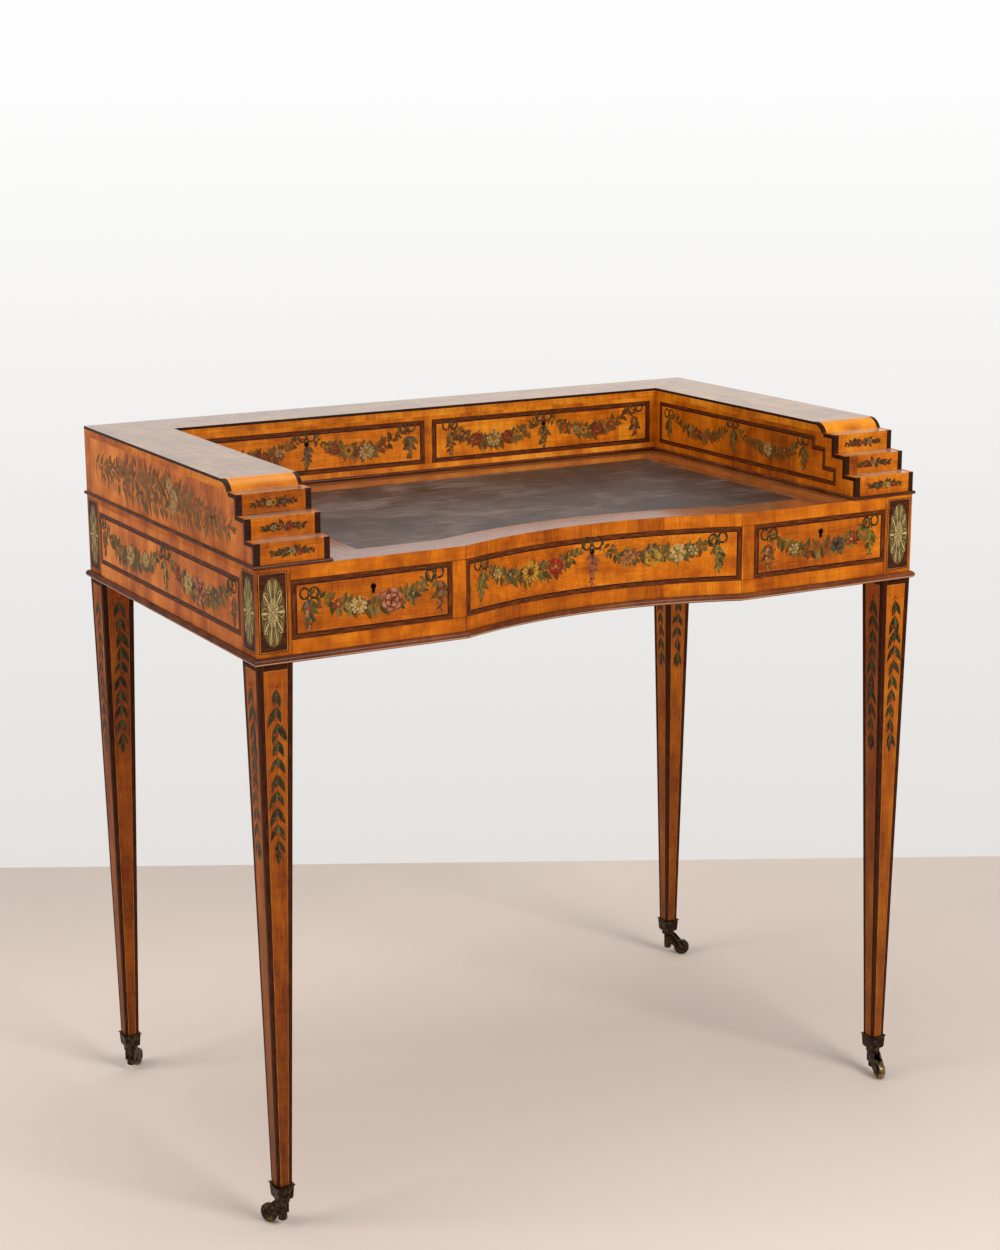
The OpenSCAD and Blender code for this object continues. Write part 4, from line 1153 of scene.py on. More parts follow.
# how far one leaf may differ from the next, in size and in lean
(least, most), (narrow, wide) = (
    [add(leaf_tree, "ShaderNodeMath", {0: middle, 1: leaf_in[range_name]}, operation=operation)
     for operation in ("SUBTRACT", "ADD")]
    for middle, range_name in ((1.0, "uneven"), (leaf_in["lean"], "spread")))
leaf_shape = stroke(leaf_tree, leaf_in, 6)
order = add(leaf_tree, "GeometryNodeInputIndex")
layer_number = add(leaf_tree, "ShaderNodeMath", {0: order, 1: LEAF_LAYERS}, operation="MODULO")
both_sides = add(leaf_tree, "GeometryNodeJoinGeometry")
for side, shift in ((1.0, 0), (-1.0, 40)):
    lean = vary(leaf_tree, leaf_in, narrow, wide, shift)
    turned = add(leaf_tree, "ShaderNodeMath", {0: lean, 1: side, 2: heading},
                 operation="MULTIPLY_ADD")
    rotation = add(leaf_tree, "ShaderNodeCombineXYZ", {2: turned})
    chance = vary(leaf_tree, leaf_in, least, most, shift + 7)
    scale = add(leaf_tree, "ShaderNodeMath", {0: size, 1: chance}, operation="MULTIPLY")
    height = add(leaf_tree, "ShaderNodeMath", {
        0: layer_number, 1: LAYER, 2: 5 * LAYER + side * LAYER / 2}, operation="MULTIPLY_ADD")
    lifted = add(leaf_tree, "GeometryNodeSetPosition", {
        "Geometry": spots, "Offset": add(leaf_tree, "ShaderNodeCombineXYZ", {2: height})})
    toned = place_strokes(leaf_tree, lifted, leaf_shape, rotation, scale,
                          vary(leaf_tree, leaf_in, 0.0, 0.75, shift + 13))
    leaf_tree.links.new(toned, both_sides.node.inputs[0])
colour_and_end(leaf_tree, leaf_in, both_sides, lambda noted: add(
    leaf_tree, "ShaderNodeMath", {0: noted["half"], 1: 0.3, 2: noted["tone"]},
    operation="MULTIPLY_ADD"))
print("tree", leaf_tree.name, "with", len(leaf_tree.nodes), "nodes")

# %% [markdown]
# ## The petal tree
# The same stroke, turned round a centre in equal parts of a circle, makes a ring of petals. A
# small random turn and size keep it from looking stamped. Petals are dark at the root and light
# at the tip.

# %% Build the tree for petals round a centre
petal_tree, petal_in = new_tree("petals_round_a_centre", {
    "count": 8, "start": 1 * MM, "length": 5 * MM, "width": 3 * MM, "fullness": 1.6, "turn": 0.0,
    "uneven": 0.1, "dark": linear("#B09A60"), "light": linear("#E8DFC0"), "seed": 1})
spots = add(petal_tree, "GeometryNodePoints", {"Count": petal_in["count"]})
order = add(petal_tree, "GeometryNodeInputIndex")
share = add(petal_tree, "ShaderNodeMath", {0: order, 1: petal_in["count"]}, operation="DIVIDE")
angle = add(petal_tree, "ShaderNodeMath", {0: share, 1: 2 * math.pi, 2: petal_in["turn"]},
            operation="MULTIPLY_ADD")
nudged = add(petal_tree, "ShaderNodeMath", {
    0: vary(petal_tree, petal_in, -1.0, 1.0, 3), 1: petal_in["uneven"], 2: angle},
    operation="MULTIPLY_ADD")
rotation = add(petal_tree, "ShaderNodeCombineXYZ", {2: nudged})
least = add(petal_tree, "ShaderNodeMath", {0: 1.0, 1: petal_in["uneven"]}, operation="SUBTRACT")
scale = vary(petal_tree, petal_in, least, 1.0, 11)
height = add(petal_tree, "ShaderNodeMath", {0: order, 1: LAYER / 3}, operation="MULTIPLY")
lifted = add(petal_tree, "GeometryNodeSetPosition", {
    "Geometry": spots, "Offset": add(petal_tree, "ShaderNodeCombineXYZ", {2: height})})
toned = place_strokes(petal_tree, lifted, stroke(petal_tree, petal_in, 5), rotation, scale,
                      vary(petal_tree, petal_in, -0.3, 0.15, 17))
colour_and_end(petal_tree, petal_in, toned, lambda noted: add(
    petal_tree, "ShaderNodeMath", {0: noted["along"], 1: noted["tone"]}, operation="ADD"))
print("tree", petal_tree.name, "with", len(petal_tree.nodes), "nodes")

# %% [markdown]
# ## From tree to drawing
# A drawing has to be laid on a hollow or a leaning face, and its leaves must be closed. So a tree
# is run once on a flat path, and its evaluated mesh is read back as plain points, faces and
# colours. The same leaf asked for twice is grown once.


# %% Run a tree and keep its shape
@functools.cache
def grow(tree, path=((0, 0, 0),), **sizes):
    """Run a tree on a path in the flat drawing and return its points, faces and colours."""
    stem = bpy.data.meshes.new("stem")
    stem.from_pydata(path, [(i, i + 1) for i in range(len(path) - 1)], [])
    plant = bpy.data.objects.new("plant", stem)
    bpy.context.scene.collection.objects.link(plant)
    modifier = plant.modifiers.new("grow", "NODES")
    modifier.node_group = tree
    for socket in tree.interface.items_tree:
        if socket.in_out == "INPUT" and socket.name in sizes:
            modifier[socket.identifier] = sizes[socket.name]
    graph = bpy.context.evaluated_depsgraph_get()
    mesh = bpy.data.meshes.new_from_object(plant.evaluated_get(graph), depsgraph=graph)
    points = [tuple(c.co) for c in mesh.vertices]
    faces = [tuple(face.vertices) for face in mesh.polygons]
    colours = [tuple(c.color) for c in mesh.attributes["paint"].data]
    bpy.data.objects.remove(plant)
    bpy.data.meshes.remove(mesh)
    bpy.data.meshes.remove(stem)
    return points, faces, colours


def moved(shape, u=0.0, v=0.0, lift=0.0, squash=(1.0, 1.0)):
    """A shape set down elsewhere in the drawing, and pressed narrower or lower."""
    points, faces, colours = shape
    moved_points = [(x * squash[0] + u, y * squash[1] + v, z + lift) for x, y, z in points]
    return moved_points, faces, colours


sample = grow(leaf_tree, ((0, 0, 0), (40 * MM, 0, 0)))
print("a sprig has", len(sample[0]), "points and", len(sample[1]), "faces")

# %% [markdown]
# ## Flowers
# Each flower is rings of petals from the outside in, then its heart. The lists give, for each
# ring: number of petals, where they start, their length and width as shares of the flower's
# radius, how full their tips are, and the colours at root and tip. Then come the heart's size and
# its two colours. A painter would vary each one, so the seed does too.

# %% List the flowers
FLOWERS = {
    "rose": ([(7, 0.3, 0.7, 0.8, 2.2, "#4A1816", "#A05A50"),
              (6, 0.3, 0.64, 0.66, 2.2, "#7A3634", "#DCA89C"),
              (5, 0.1, 0.54, 0.66, 2.0, "#3E1212", "#8A4640"),
              (5, 0.1, 0.46, 0.5, 2.0, "#84403C", "#E8BEB0"),
              (3, 0.02, 0.26, 0.34, 2.0, "#4A1816", "#B0685E")], (0.09, "#3E1010", "#A85A50")),
    "red_rose": ([(7, 0.3, 0.7, 0.75, 2.0, "#3C0C0A", "#A03428"),
                  (6, 0.15, 0.5, 0.45, 2.0, "#5A1210", "#CC6450")], (0.16, "#4A0F0E", "#A8442F")),
    "daisy": ([(12, 0.2, 0.8, 0.36, 2.2, "#8F8A5C", "#E6DDBB"),
               (8, 0.12, 0.5, 0.3, 2.0, "#B7A768", "#F0E9CC")], (0.24, "#9A6A1C", "#D9A638")),
    "cream": ([(7, 0.2, 0.8, 0.62, 2.0, "#9C9365", "#DDD3A4"),
               (5, 0.1, 0.5, 0.5, 2.0, "#B3A870", "#EDE5C3")], (0.16, "#8A7430", "#C9AE58")),
    "sunflower": ([(15, 0.25, 0.75, 0.3, 2.0, "#9C6A18", "#D9B540"),
                   (11, 0.2, 0.55, 0.26, 2.0, "#B07C1E", "#E8CD66")], (0.3, "#3B2712", "#6B4A1E")),
    "poppy": ([(6, 0.2, 0.8, 0.95, 2.2, "#6A120F", "#B3302A"),
               (5, 0.15, 0.5, 0.6, 2.0, "#7E1814", "#C9493C")], (0.26, "#8A6A2A", "#C9A860")),
    "blue": ([(6, 0.2, 0.8, 0.6, 1.8, "#1F2F3C", "#4F6B74")], (0.25, "#8A7A3A", "#C9B66A")),
    "aster": ([(13, 0.25, 0.75, 0.3, 1.8, "#20303A", "#48626C"),
               (9, 0.15, 0.5, 0.26, 1.8, "#182630", "#385058")], (0.2, "#10181C", "#2C3C40")),
    "pansy": ([(5, 0.05, 0.95, 0.9, 1.9, "#8C7A22", "#D3BC4A")], (0.2, "#5A3A18", "#8A6424")),
    "white": ([(6, 0.15, 0.85, 0.55, 2.0, "#8D927C", "#D9D9C4")], (0.22, "#A8862E", "#D6B656")),
    "red": ([(6, 0.15, 0.85, 0.6, 2.0, "#7E1A14", "#C0392B")], (0.24, "#C9A45A", "#E0C47A")),
    "pink": ([(6, 0.15, 0.85, 0.62, 2.0, "#9A4A40", "#D28E7C")], (0.22, "#8A3A30", "#C9766A")),
    "brown": ([(8, 0.15, 0.85, 0.45, 1.8, "#6A3312", "#B0662A")], (0.2, "#7A2A14", "#B5532A")),
}
print("flowers", ", ".join(FLOWERS))

# %% [markdown]
# ## Flower heads
# Sizes of painted things are in mm from here on. A flower's heart, a berry and a knot are all one
# round touch of the brush, lighter above its middle where the light falls. The rings of a flower
# are grown one by one and lie over each other, with the heart on top.

# %% Mix the flowers
DOT_SIDES = 9
FLOWER_LIFT, RING_STEP, BLOOM_STEP = 14, 6, 0.37


def dot(u, v, radius, code, light, lift):
    """A round touch of the brush, lighter above its middle; sizes in metres."""
    turns = [2 * math.pi * i / DOT_SIDES for i in range(DOT_SIDES)]
    points = [(u, v + radius * 0.25, lift)]
    points += [(u + radius * math.cos(turn), v + radius * math.sin(turn), lift) for turn in turns]
    faces = [(0, 1 + i, 1 + (i + 1) % DOT_SIDES) for i in range(DOT_SIDES)]
    return points, faces, [linear(light)] + [linear(code)] * DOT_SIDES


def flower(kind, u, v, radius, seed=1, layer=0):
    """A painted flower; sizes in mm. A later layer lies over an earlier one."""
    rings, (size, code, light) = FLOWERS[kind]
    shapes, lift = [], (FLOWER_LIFT + BLOOM_STEP * layer) * LAYER
    for number, (count, start, length, width, fullness, root, tip) in enumerate(rings):
        ring = grow(petal_tree, count=count, start=start * radius * MM, length=length * radius * MM,
                    width=width * radius * MM, fullness=fullness, turn=0.4 * number, uneven=0.12,
                    dark=linear(root), light=linear(tip), seed=seed + number)
        shapes.append(moved(ring, u * MM, v * MM, lift))
        lift += RING_STEP * LAYER
    return shapes + [dot(u * MM, v * MM, size * radius * MM, code, light, lift)]


print("a rose has", len(flower("rose", 0, 0, 15)), "shapes")

# %% [markdown]
# ## Runs of leaves
# A run of leaves follows a smooth curve through a few given points. A spline that passes through
# the points themselves is easier to trace a picture with than one that is pulled by handles.

# %% Draw leaves along a line
CURVE_STEPS = 6


def leaves(points, length=9.0, width=4.0, spacing=4.5, seed=1, dark="#3A3218", light="#8A8048",
           lift=0.0, **more):
    """Leaves along a smooth line through points; sizes in mm, lift in metres."""
    smooth = []
    for i in range(len(points) - 1):
        near = [points[max(i - 1, 0)], points[i], points[i + 1],
                points[min(i + 2, len(points) - 1)]]
        for t in (step / CURVE_STEPS for step in range(CURVE_STEPS)):
            weights = (-t + 2 * t ** 2 - t ** 3, 2 - 5 * t ** 2 + 3 * t ** 3,
                       t + 4 * t ** 2 - 3 * t ** 3, t ** 3 - t ** 2)
            smooth.append(tuple(sum(w * q[axis] for w, q in zip(weights, near)) / 2 * MM
                                for axis in (0, 1)) + (0,))
    smooth.append((points[-1][0] * MM, points[-1][1] * MM, 0))
    run = grow(leaf_tree, tuple(smooth), length=length * MM, width=width * MM, spacing=spacing * MM,
               seed=seed, dark=linear(dark), light=linear(light), **more)
    return [moved(run, lift=lift)]


print("a run of leaves has", len(leaves([(0, 0), (30, 0)])[0][0]), "points")

# %% [markdown]
# ## Ribbons and bows
# A ribbon is a strip along a line that turns its light side to the eye now and then. A bow is two
# open loops of it with short tails, and a knot in the middle.

# %% Tie ribbons and bows
BOW_W, LOOP_STEPS = 2.4, 14
TAIL_LAYER, RIBBON_LAYER, KNOT_LAYER = 38, 44, 52


def ribbon(points, width, dark="#1A2019", light="#545C42", lift=RIBBON_LAYER * LAYER):
    """A painted ribbon along a line, which turns its light side now and then; sizes in mm."""
    flat, colours = [], []
    for i, (u, v) in enumerate(points):
        a, b = points[max(i - 1, 0)], points[min(i + 1, len(points) - 1)]
        length = math.dist(a, b) or 1
        side = ((a[1] - b[1]) / length, (b[0] - a[0]) / length)
        shine = 0.5 + 0.5 * math.sin(i * 1.3)
        for share in (-0.5, 0.5):
            flat.append(((u + side[0] * width * share) * MM,
                         (v + side[1] * width * share) * MM, lift))
            mix = shine if share > 0 else 0.3 * shine
            colours.append(tuple(d + (l - d) * mix for d, l in zip(linear(dark), linear(light))))
    return [(flat, ladder(len(points) - 1), colours)]


def bow(u, v, size=6.5, tilt=0.0):
    """Two open loops tied in the middle, with short tails."""
    shapes = []
    for side in (-1, 1):
        loop = []
        for i in range(LOOP_STEPS + 1):
            turn = 2 * math.pi * i / LOOP_STEPS + (math.pi if side > 0 else 0)
            loop.append((u + (side * size * 0.95 + size * 0.85 * math.cos(turn)),
                         v + (size * math.sin(turn) + side * tilt)))
        tail = [(u, v), (u + side * 2.5, v - size * 0.7), (u + side * 1.6, v - size * 1.4)]
        shapes += ribbon(loop, BOW_W, lift=(RIBBON_LAYER + side) * LAYER)
        shapes += ribbon(tail, BOW_W * 0.8, lift=(TAIL_LAYER + side) * LAYER)
    return shapes + [dot(u * MM, v * MM, BOW_W * MM, "#2C3226", "#7D8560", KNOT_LAYER * LAYER)]


print("a bow has", len(bow(0, 0)), "shapes")

# %% [markdown]
# ## Swags and drops
# A swag is a garland that hangs between two bows, fullest in its middle. A second, paler run of
# leaves lies over the first for depth, then come buds and flowers. A drop is a bunch that hangs
# from a bow and narrows to its tip, with berries. Buds and berries are scattered by a seeded
# generator, so that the drawing is the same at each run.


# %% Hang swags and drops
def drop(u, top, foot, berries, seed=1, dark="#302C14", light="#7E7844", width=15.0):
    """A hanging bunch that narrows to its tip, with berries."""
    dice = random.Random(seed)
    spine = [(u, top), (u + 0.6, (top + foot) / 2), (u, foot + 4)]
    shapes = leaves(spine, width, width * 0.44, 3.8, seed, dark, light, LAYER / 5, lean=0.6,
                    spread=0.45, uneven=0.3, taper=0.6)
    steps = max(3, int((top - foot) / 3.2))
    for i in range(steps):
        share = i / steps
        spot = u + dice.uniform(-1, 1) * 4.2 * (1 - share)
        shapes.append(dot(spot * MM, (top + (foot - top) * share - 3) * MM,
                          (2.7 - 1.5 * share) * MM, berries[i % len(berries)],
                          berries[(i + 1) % len(berries)], (30 + i) * LAYER))
    return shapes


def swag(points, blooms, seed, leaf=14.5):
    """A garland: leaves along its line, thicker in the middle, then its buds and flowers."""
    dice = random.Random(seed)
    shapes = leaves(points, leaf, leaf * 0.48, leaf * 0.4, seed, "#2C260E", "#887C40", LAYER / 3,
                    lean=0.9, spread=0.6, uneven=0.3, swell=0.45)
    shapes += leaves(points[1:-1], leaf * 0.9, leaf * 0.38, leaf * 0.42, seed + 90, "#3A361A",
                     "#968E5E", LAYER * 2 / 3, lean=1.3, spread=0.8, uneven=0.3, swell=0.25)
    for number, (u, v) in enumerate(points[1:-1] * 2):
        bud_u = u + dice.uniform(-9, 9)
        bud_v = v + dice.choice((-1, 1)) * dice.uniform(6, 9)
        shapes.append(dot(bud_u * MM, bud_v * MM, 1.5 * MM, "#7A2416", "#C0583A",
                          (40 + number) * LAYER))
    for number, bloom in enumerate(blooms):
        shapes += flower(*bloom, seed + number, number)
    return shapes


def worn(shapes, share, wood="#92481A"):
    """Paint worn thin: its colours go part of the way to the wood's."""
    ground = linear(wood)
    return [(points, faces, [tuple(c + (g - c) * share for c, g in zip(colour, ground))
                             for colour in colours]) for points, faces, colours in shapes]


print("a drop has", len(drop(0, 10, -20, ("#8A2018", "#CC6A58"))), "shapes")

# %% [markdown]
# ## Painting the drawers
# Each frieze drawer has one swag between two bows, with a bunch hanging from each. The hollow
# drawer and the two in the gallery have a third bow over the keyhole. Heights and widths are in
# mm from the middle of the drawer, as measured on the picture of the desk.

# %% Draw the swags
GREENS, REDS = ("#5A6A3A", "#9AA070"), ("#8A2018", "#CC6A58", "#E0A890")
BLUES, PINKS = ("#33505A", "#7F9498"), ("#924842", "#C68A7A", "#7E2A24")
PAINTED = {
    "drawer_left":
        swag([(-76, 15), (-60, 7), (-43, 0), (-18, -5), (5, -6), (24, -3), (50, 3), (64, 11),
              (75, 19)],
             [("red", -43.5, 1, 6.5), ("daisy", -18, -3, 11.5), ("rose", 23, -2, 15.5),
              ("pink", 9, 6, 6), ("blue", 50, 2, 7.5), ("white", -31, -3, 4.5)], 3)
        + bow(-78, 17, 6.2) + bow(77, 22, 6.2, 1) + drop(-79, 9, -24, BLUES + REDS, 4)
        + drop(83, 13, -20, PINKS, 5),
    "drawer_centre":
        swag([(-165, 22), (-152, 12), (-140, 6), (-121, 1), (-89, 0), (-52, 3), (-30, 12),
              (-12, 22)],
             [("white", -142, 8, 6.5), ("blue", -121, 4, 8), ("sunflower", -89, 2, 14.5),
              ("blue", -62, 9, 4.5), ("poppy", -52, 4, 12)], 11)
        + swag([(12, 22), (26, 12), (38, 7), (60, 3), (82, 4), (116, 4), (134, 8), (150, 12),
                (162, 18)],
               [("pink", 49, 4, 9), ("pink", 60, 7, 5), ("pansy", 82, 2, 12), ("blue", 80, 12, 8),
                ("cream", 114, 5, 12.5), ("white", 134, 7, 7)], 21)
        + bow(-169, 24, 6.2) + bow(0, 26, 7.5) + bow(165, 20, 6.2, 1)
        + drop(-168, 14, -20, GREENS, 6) + drop(0, 12, -27, PINKS, 7, "#5A2A1C", "#B07A5C", 12.5)
        + drop(166, 11, -22, GREENS, 8),
    "drawer_right":
        swag([(-75, 18), (-60, 8), (-40, -2), (-10, -7), (12, -6), (28, -3), (48, 2), (64, 10),
              (74, 18)],
             [("white", -40, -2, 7.5), ("brown", -20, -6, 7.5), ("brown", -6, -2, 8.5),
              ("brown", 10, -6, 8), ("aster", 26, -3, 11.5), ("red", 48, 1, 8)], 31)
        + bow(-78, 20, 6.5) + bow(77, 20.6, 6.5, 1) + drop(-79, 7, -24, REDS, 9)
        + drop(76, 10, -23, ("#5A6A3A", "#B0A850"), 10),
    "gallery_drawer_left":
        swag([(-143, 20), (-120, 6), (-96, -2), (-70, -4), (-40, 2), (-10, 18)],
             [("red", -106, -1, 7), ("cream", -84, -4, 9), ("red_rose", -60, -2, 9),
              ("white", -38, 3, 6)], 41)
        + swag([(10, 18), (34, 5), (58, -2), (84, -6), (112, 0), (143, 20)],
               [("red_rose", 40, 1, 8), ("sunflower", 60, -2, 8), ("daisy", 86, -5, 12),
                ("red", 110, -1, 7.5)], 51)
        + bow(-145, 20, 6) + bow(0, 21, 6.5) + bow(147, 21, 6, 1) + drop(-146, 12, -20, REDS, 11)
        + drop(0, 8, -22, BLUES, 12) + drop(150, 10, -20, BLUES + GREENS, 13),
    "gallery_drawer_right":
        swag([(-143, 20), (-124, 5), (-105, -3), (-78, -6), (-52, -3), (-27, 4), (-10, 18)],
             [("red_rose", -105, -2, 10), ("daisy", -78, -3, 12), ("red_rose", -57, -2, 9.5),
              ("sunflower", -42, 3, 5.5)], 61)
        + swag([(10, 18), (36, 3), (60, -3), (86, -4), (112, 3), (143, 20)],
               [("brown", 34, 4, 7.5), ("white", 52, -2, 6.5), ("sunflower", 64, -3, 6.5),
                ("red_rose", 87, -3, 10), ("red", 109, 2, 7)], 71)
        + bow(-145, 20, 6) + bow(0, 21, 6.5) + bow(149, 21, 6, 1)
        + drop(-144, 10, -20, ("#A89A50", "#B0503A"), 14) + drop(0, 8, -22, GREENS, 15)
        + drop(147, 10, -18, REDS, 16),
}
print("touches of paint on each drawer:", {body: len(shapes) for body, shapes in PAINTED.items()})

# %% [markdown]
# ## Wear of the paint
# The gallery's flowers are paler, rubbed by the things that were stood before them. Mixing their
# colours with the wood's is simpler than a second, thinner material, and looks the same.

# %% Paint the drawers
FRIEZE_WEAR, GALLERY_WEAR = 0.06, 0.3
for body, shapes in PAINTED.items():
    thin = worn(shapes, GALLERY_WEAR if "gallery" in body else FRIEZE_WEAR)
    lay(body + "_swag", [(DRAWERS[body][0], thin)], oil_paint, body, "satinwood")

# %% [markdown]
# ## Painting the sides and wings
# The side rails carry two swags with a bow between them. The wings' inner faces repeat the
# drawers' pattern at a smaller size, and the outer faces carry one long loose spray in faded
# browns and pinks. A looser run of wide leaves does for that where a swag would look too neat.

# %% Draw the sprays
side_spray = (
    swag([(-212, 22), (-180, 4), (-149, -6), (-118, -8), (-64, -2), (-30, 8), (-8, 20)],
         [("pink", -150, -2, 8), ("cream", -118, -3, 14), ("cream", -66, 0, 10.5),
          ("blue", -92, -8, 7), ("white", -40, 4, 6.5)], 81, 17)
    + swag([(8, 20), (40, 4), (72, -3), (110, -7), (156, -3), (185, 8), (202, 20)],
           [("red_rose", 41, 2, 9), ("cream", 72, -2, 14), ("rose", 108, -5, 17.5),
            ("blue", 154, -1, 9.5), ("white", 134, 3, 7)], 91, 17)
    + bow(-214, 22, 6.5) + bow(0, 21, 7) + bow(204, 20, 6.5) + drop(-208, 12, -20, PINKS, 17)
    + drop(0, 9, -26, ("#B5A870", "#E0D6A8"), 18) + drop(207, 8, -26, PINKS, 19))
wing_spray = (
    swag([(-150, 14), (-120, 3), (-84, -5), (-50, -4), (-27, 4), (-6, 20)],
         [("red", -84, -3, 6.5), ("pink", -66, -5, 7), ("brown", -50, -4, 6),
          ("white", -100, 0, 5)], 101, 11)
    + swag([(8, 20), (36, 4), (80, -4), (118, -2), (140, 8), (156, 20)],
           [("brown", 50, 0, 6), ("daisy", 81, -2, 10), ("blue", 66, 3, 5), ("red", 118, 1, 7)],
           111, 11)
    + bow(-154, 15, 6) + bow(1, 22, 6.5) + bow(158, 21, 6.5) + drop(-154, 7, -18, GREENS, 20)
    + drop(2, 12, -16, GREENS, 21) + drop(160, 12, -18, GREENS, 22))
outer_spray = leaves(
    [(-228, 6), (-170, 4), (-110, 8), (-40, 4), (35, 8), (100, 2), (160, -2), (206, -5)],
    24, 6.5, 6.6, 5, "#5C4A24", "#A08C5C", lean=0.8, spread=0.7, uneven=0.35, swell=0.3)
outer_spray += leaves(
    [(-206, -4), (-120, -10), (-60, -15), (40, -13), (110, -14), (176, -12)],
    18, 5.5, 7.8, 6, "#504626", "#928454", LAYER / 3, lean=1.2, spread=0.8, uneven=0.35, swell=0.35)
outer_spray += leaves(
    [(-190, 10), (-100, 18), (-20, 19), (60, 14), (140, 4)],
    14, 6.0, 8.5, 8, "#7A4A2C", "#B07A50", LAYER * 2 / 3, lean=1.1, spread=0.9, uneven=0.4)
outer_spray += ribbon([(-25 + 4 * i, 27 - 3.2 * i) for i in range(12)], 2.2, "#4A2A1A", "#7A4A2C")
for kind, u, v, radius in (
        ("pink", -150, 4, 7), ("pink", -118, -9, 8), ("brown", -96, 10, 7), ("blue", -68, -12, 8),
        ("pink", -40, 12, 7), ("cream", 22, 16, 10), ("cream", 36, 2, 12), ("cream", 30, -12, 9),
        ("pink", 62, 10, 8), ("brown", 84, -12, 7), ("pink", 108, 4, 7), ("red", 132, -9, 6),
        ("brown", 160, 0, 6)):
    outer_spray += flower(kind, u, v, radius, int(abs(u)), len(outer_spray) / 4)
print("touches of paint:", len(side_spray), len(wing_spray), len(outer_spray))

# %% [markdown]
# ## One drawing for both sides
# The left-hand and right-hand sides of the desk are a pair. So each design is drawn once and laid
# twice, the second time as if seen in a glass.


# %% Lay the sprays on both sides
def mirrored(shapes):
    """The drawing seen in a glass: u changes sign, and each face is walked the other way."""
    return [([(-u, v, lift) for u, v, lift in points],
             [tuple(reversed(face)) for face in faces], colours)
            for points, faces, colours in shapes]


case_middle = frame_middle
outer_middle = (PANEL_FOOT + PANEL_TOP) / 2
wing_middle = frame_foot + drawer_h / 2
for name, spray, wear, drawn_on, x, middle_z, inward, slot in (
        ("case_side_swags", side_spray, 0.12, -1, HALF_W, case_middle, False, "satinwood_sides"),
        ("wing_outer_sprays", outer_spray, 0.28, -1, HALF_W, outer_middle, False,
         "satinwood_sides"),
        ("wing_inner_swags", wing_spray, 0.28, 1, WING_IN, wing_middle, True, "satinwood")):
    spray = worn(spray, wear)
    lay(name, [(side_face(sign, x, middle_z, inward),
                spray if sign == drawn_on else mirrored(spray))
               for sign in (-1, 1)], oil_paint, slot=slot)

# %% [markdown]
# ## Sprigs on the steps
# Every riser carries a small sprig: leaves to both sides and a few flowers in the middle. The two
# wings are mirror images, but the kinds of flowers change from step to step and side to side.

# %% Paint a small sprig on each step
STEP_BLOOMS = (
    (("red_rose", -9, 0, 5), ("blue", 6, 0, 4), ("white", 0, 1, 4.5), ("aster", 14, 0, 3.5)),
    (("pink", 0, 0, 5), ("red_rose", -8, 0, 5), ("white", 11, 0, 4), ("blue", -15, 1, 3)),
    (("sunflower", 1, 0, 4.5), ("blue", -12, 0, 4.5), ("cream", 6, 0, 4), ("red", 14, 0, 3.5)))
TWIGS = (([(0, 0), (8, 1), (16, 0), (24, 0)], 7, 0.0),
         ([(0, 0), (-8, 0.5), (-16, 0), (-24, -0.5)], 17, LAYER / 3))
SPRIG_HEIGHT = 0.48
wing_mid = (WING_IN + HALF_W) / 2
step_layers = []
for number, (riser, foot, tread) in enumerate(STEPS):
    for sign in (-1, 1):
        sprig = []
        for spine, seed, lift in TWIGS:
            sprig += leaves(spine, 8.5, 4.2, 3.0, seed + number, "#241C0E", "#5C5230", lift,
                            lean=0.65, taper=0.4, uneven=0.3)
        blooms = STEP_BLOOMS[number if sign < 0 else number - 1]
        for layer, (kind, u, v, radius) in enumerate(blooms):
            sprig += flower(kind, sign * u, v, radius, 5 + number, layer)
        face = flat_face((sign * wing_mid, riser, foot + (tread - foot) * SPRIG_HEIGHT), FRONT)
        step_layers.append((face, worn(sprig, 0.3, "#744A24")))
lay("step_sprigs", step_layers, oil_paint, slot="satinwood")

# %% [markdown]
# ## Paterae
# A patera is the oval rosette on each corner post: long acanthus petals in cream on a grey-green
# ground. Petals laid straight on an ellipse would bunch at its ends, so they are grown round and
# the whole rosette is pressed into an oval.

# %% Paint the paterae
OVAL_W, OVAL_H = 14.2 * MM, 39.5 * MM
RIM_POINTS, LOBE = 40, 0.035
TABLET_LIFT = 12 * LAYER
# long petals, then short ones between them, each a cream shape, a darker middle and a vein
LONG, SHORT = (10, 0.0), (8, 0.31)
PATERA = (
    (*LONG, 0.3, 0.68, 0.37, "#A8A27C", "#DCD6B4"),
    (*LONG, 0.31, 0.65, 0.3, "#4E482E", "#7C7654"),
    (*LONG, 0.26, 0.7, 0.085, "#C8C29C", "#F4EED6"),
    (*SHORT, 0.05, 0.44, 0.24, "#BCB692", "#EAE4C8"),
    (*SHORT, 0.08, 0.4, 0.16, "#5E5838", "#928C68"),
    (*SHORT, 0.05, 0.4, 0.06, "#D4CEAC", "#FAF4E0"))
ground = [(0, 0, TABLET_LIFT)]
for i in range(RIM_POINTS):
    turn, size = 2 * math.pi * i / RIM_POINTS, 1 - LOBE * (i % 2)
    ground.append((math.cos(turn) * OVAL_W * size, math.sin(turn) * OVAL_H * size, TABLET_LIFT))
fan = [(0, 1 + i, 1 + (i + 1) % RIM_POINTS) for i in range(RIM_POINTS)]
patera = [(ground, fan, [linear("#4A442C")] + [linear("#6C664A")] * RIM_POINTS)]
for number, (count, turn, start, length, width, dark, light) in enumerate(PATERA, 1):
    ring = grow(petal_tree, count=count, start=start * OVAL_H, length=length * OVAL_H,
                width=width * OVAL_H, fullness=1.5, turn=turn, uneven=0.02, dark=linear(dark),
                light=linear(light), seed=2)
    patera.append(moved(ring, lift=TABLET_LIFT + 4 * number * LAYER, squash=(OVAL_W / OVAL_H, 1.0)))
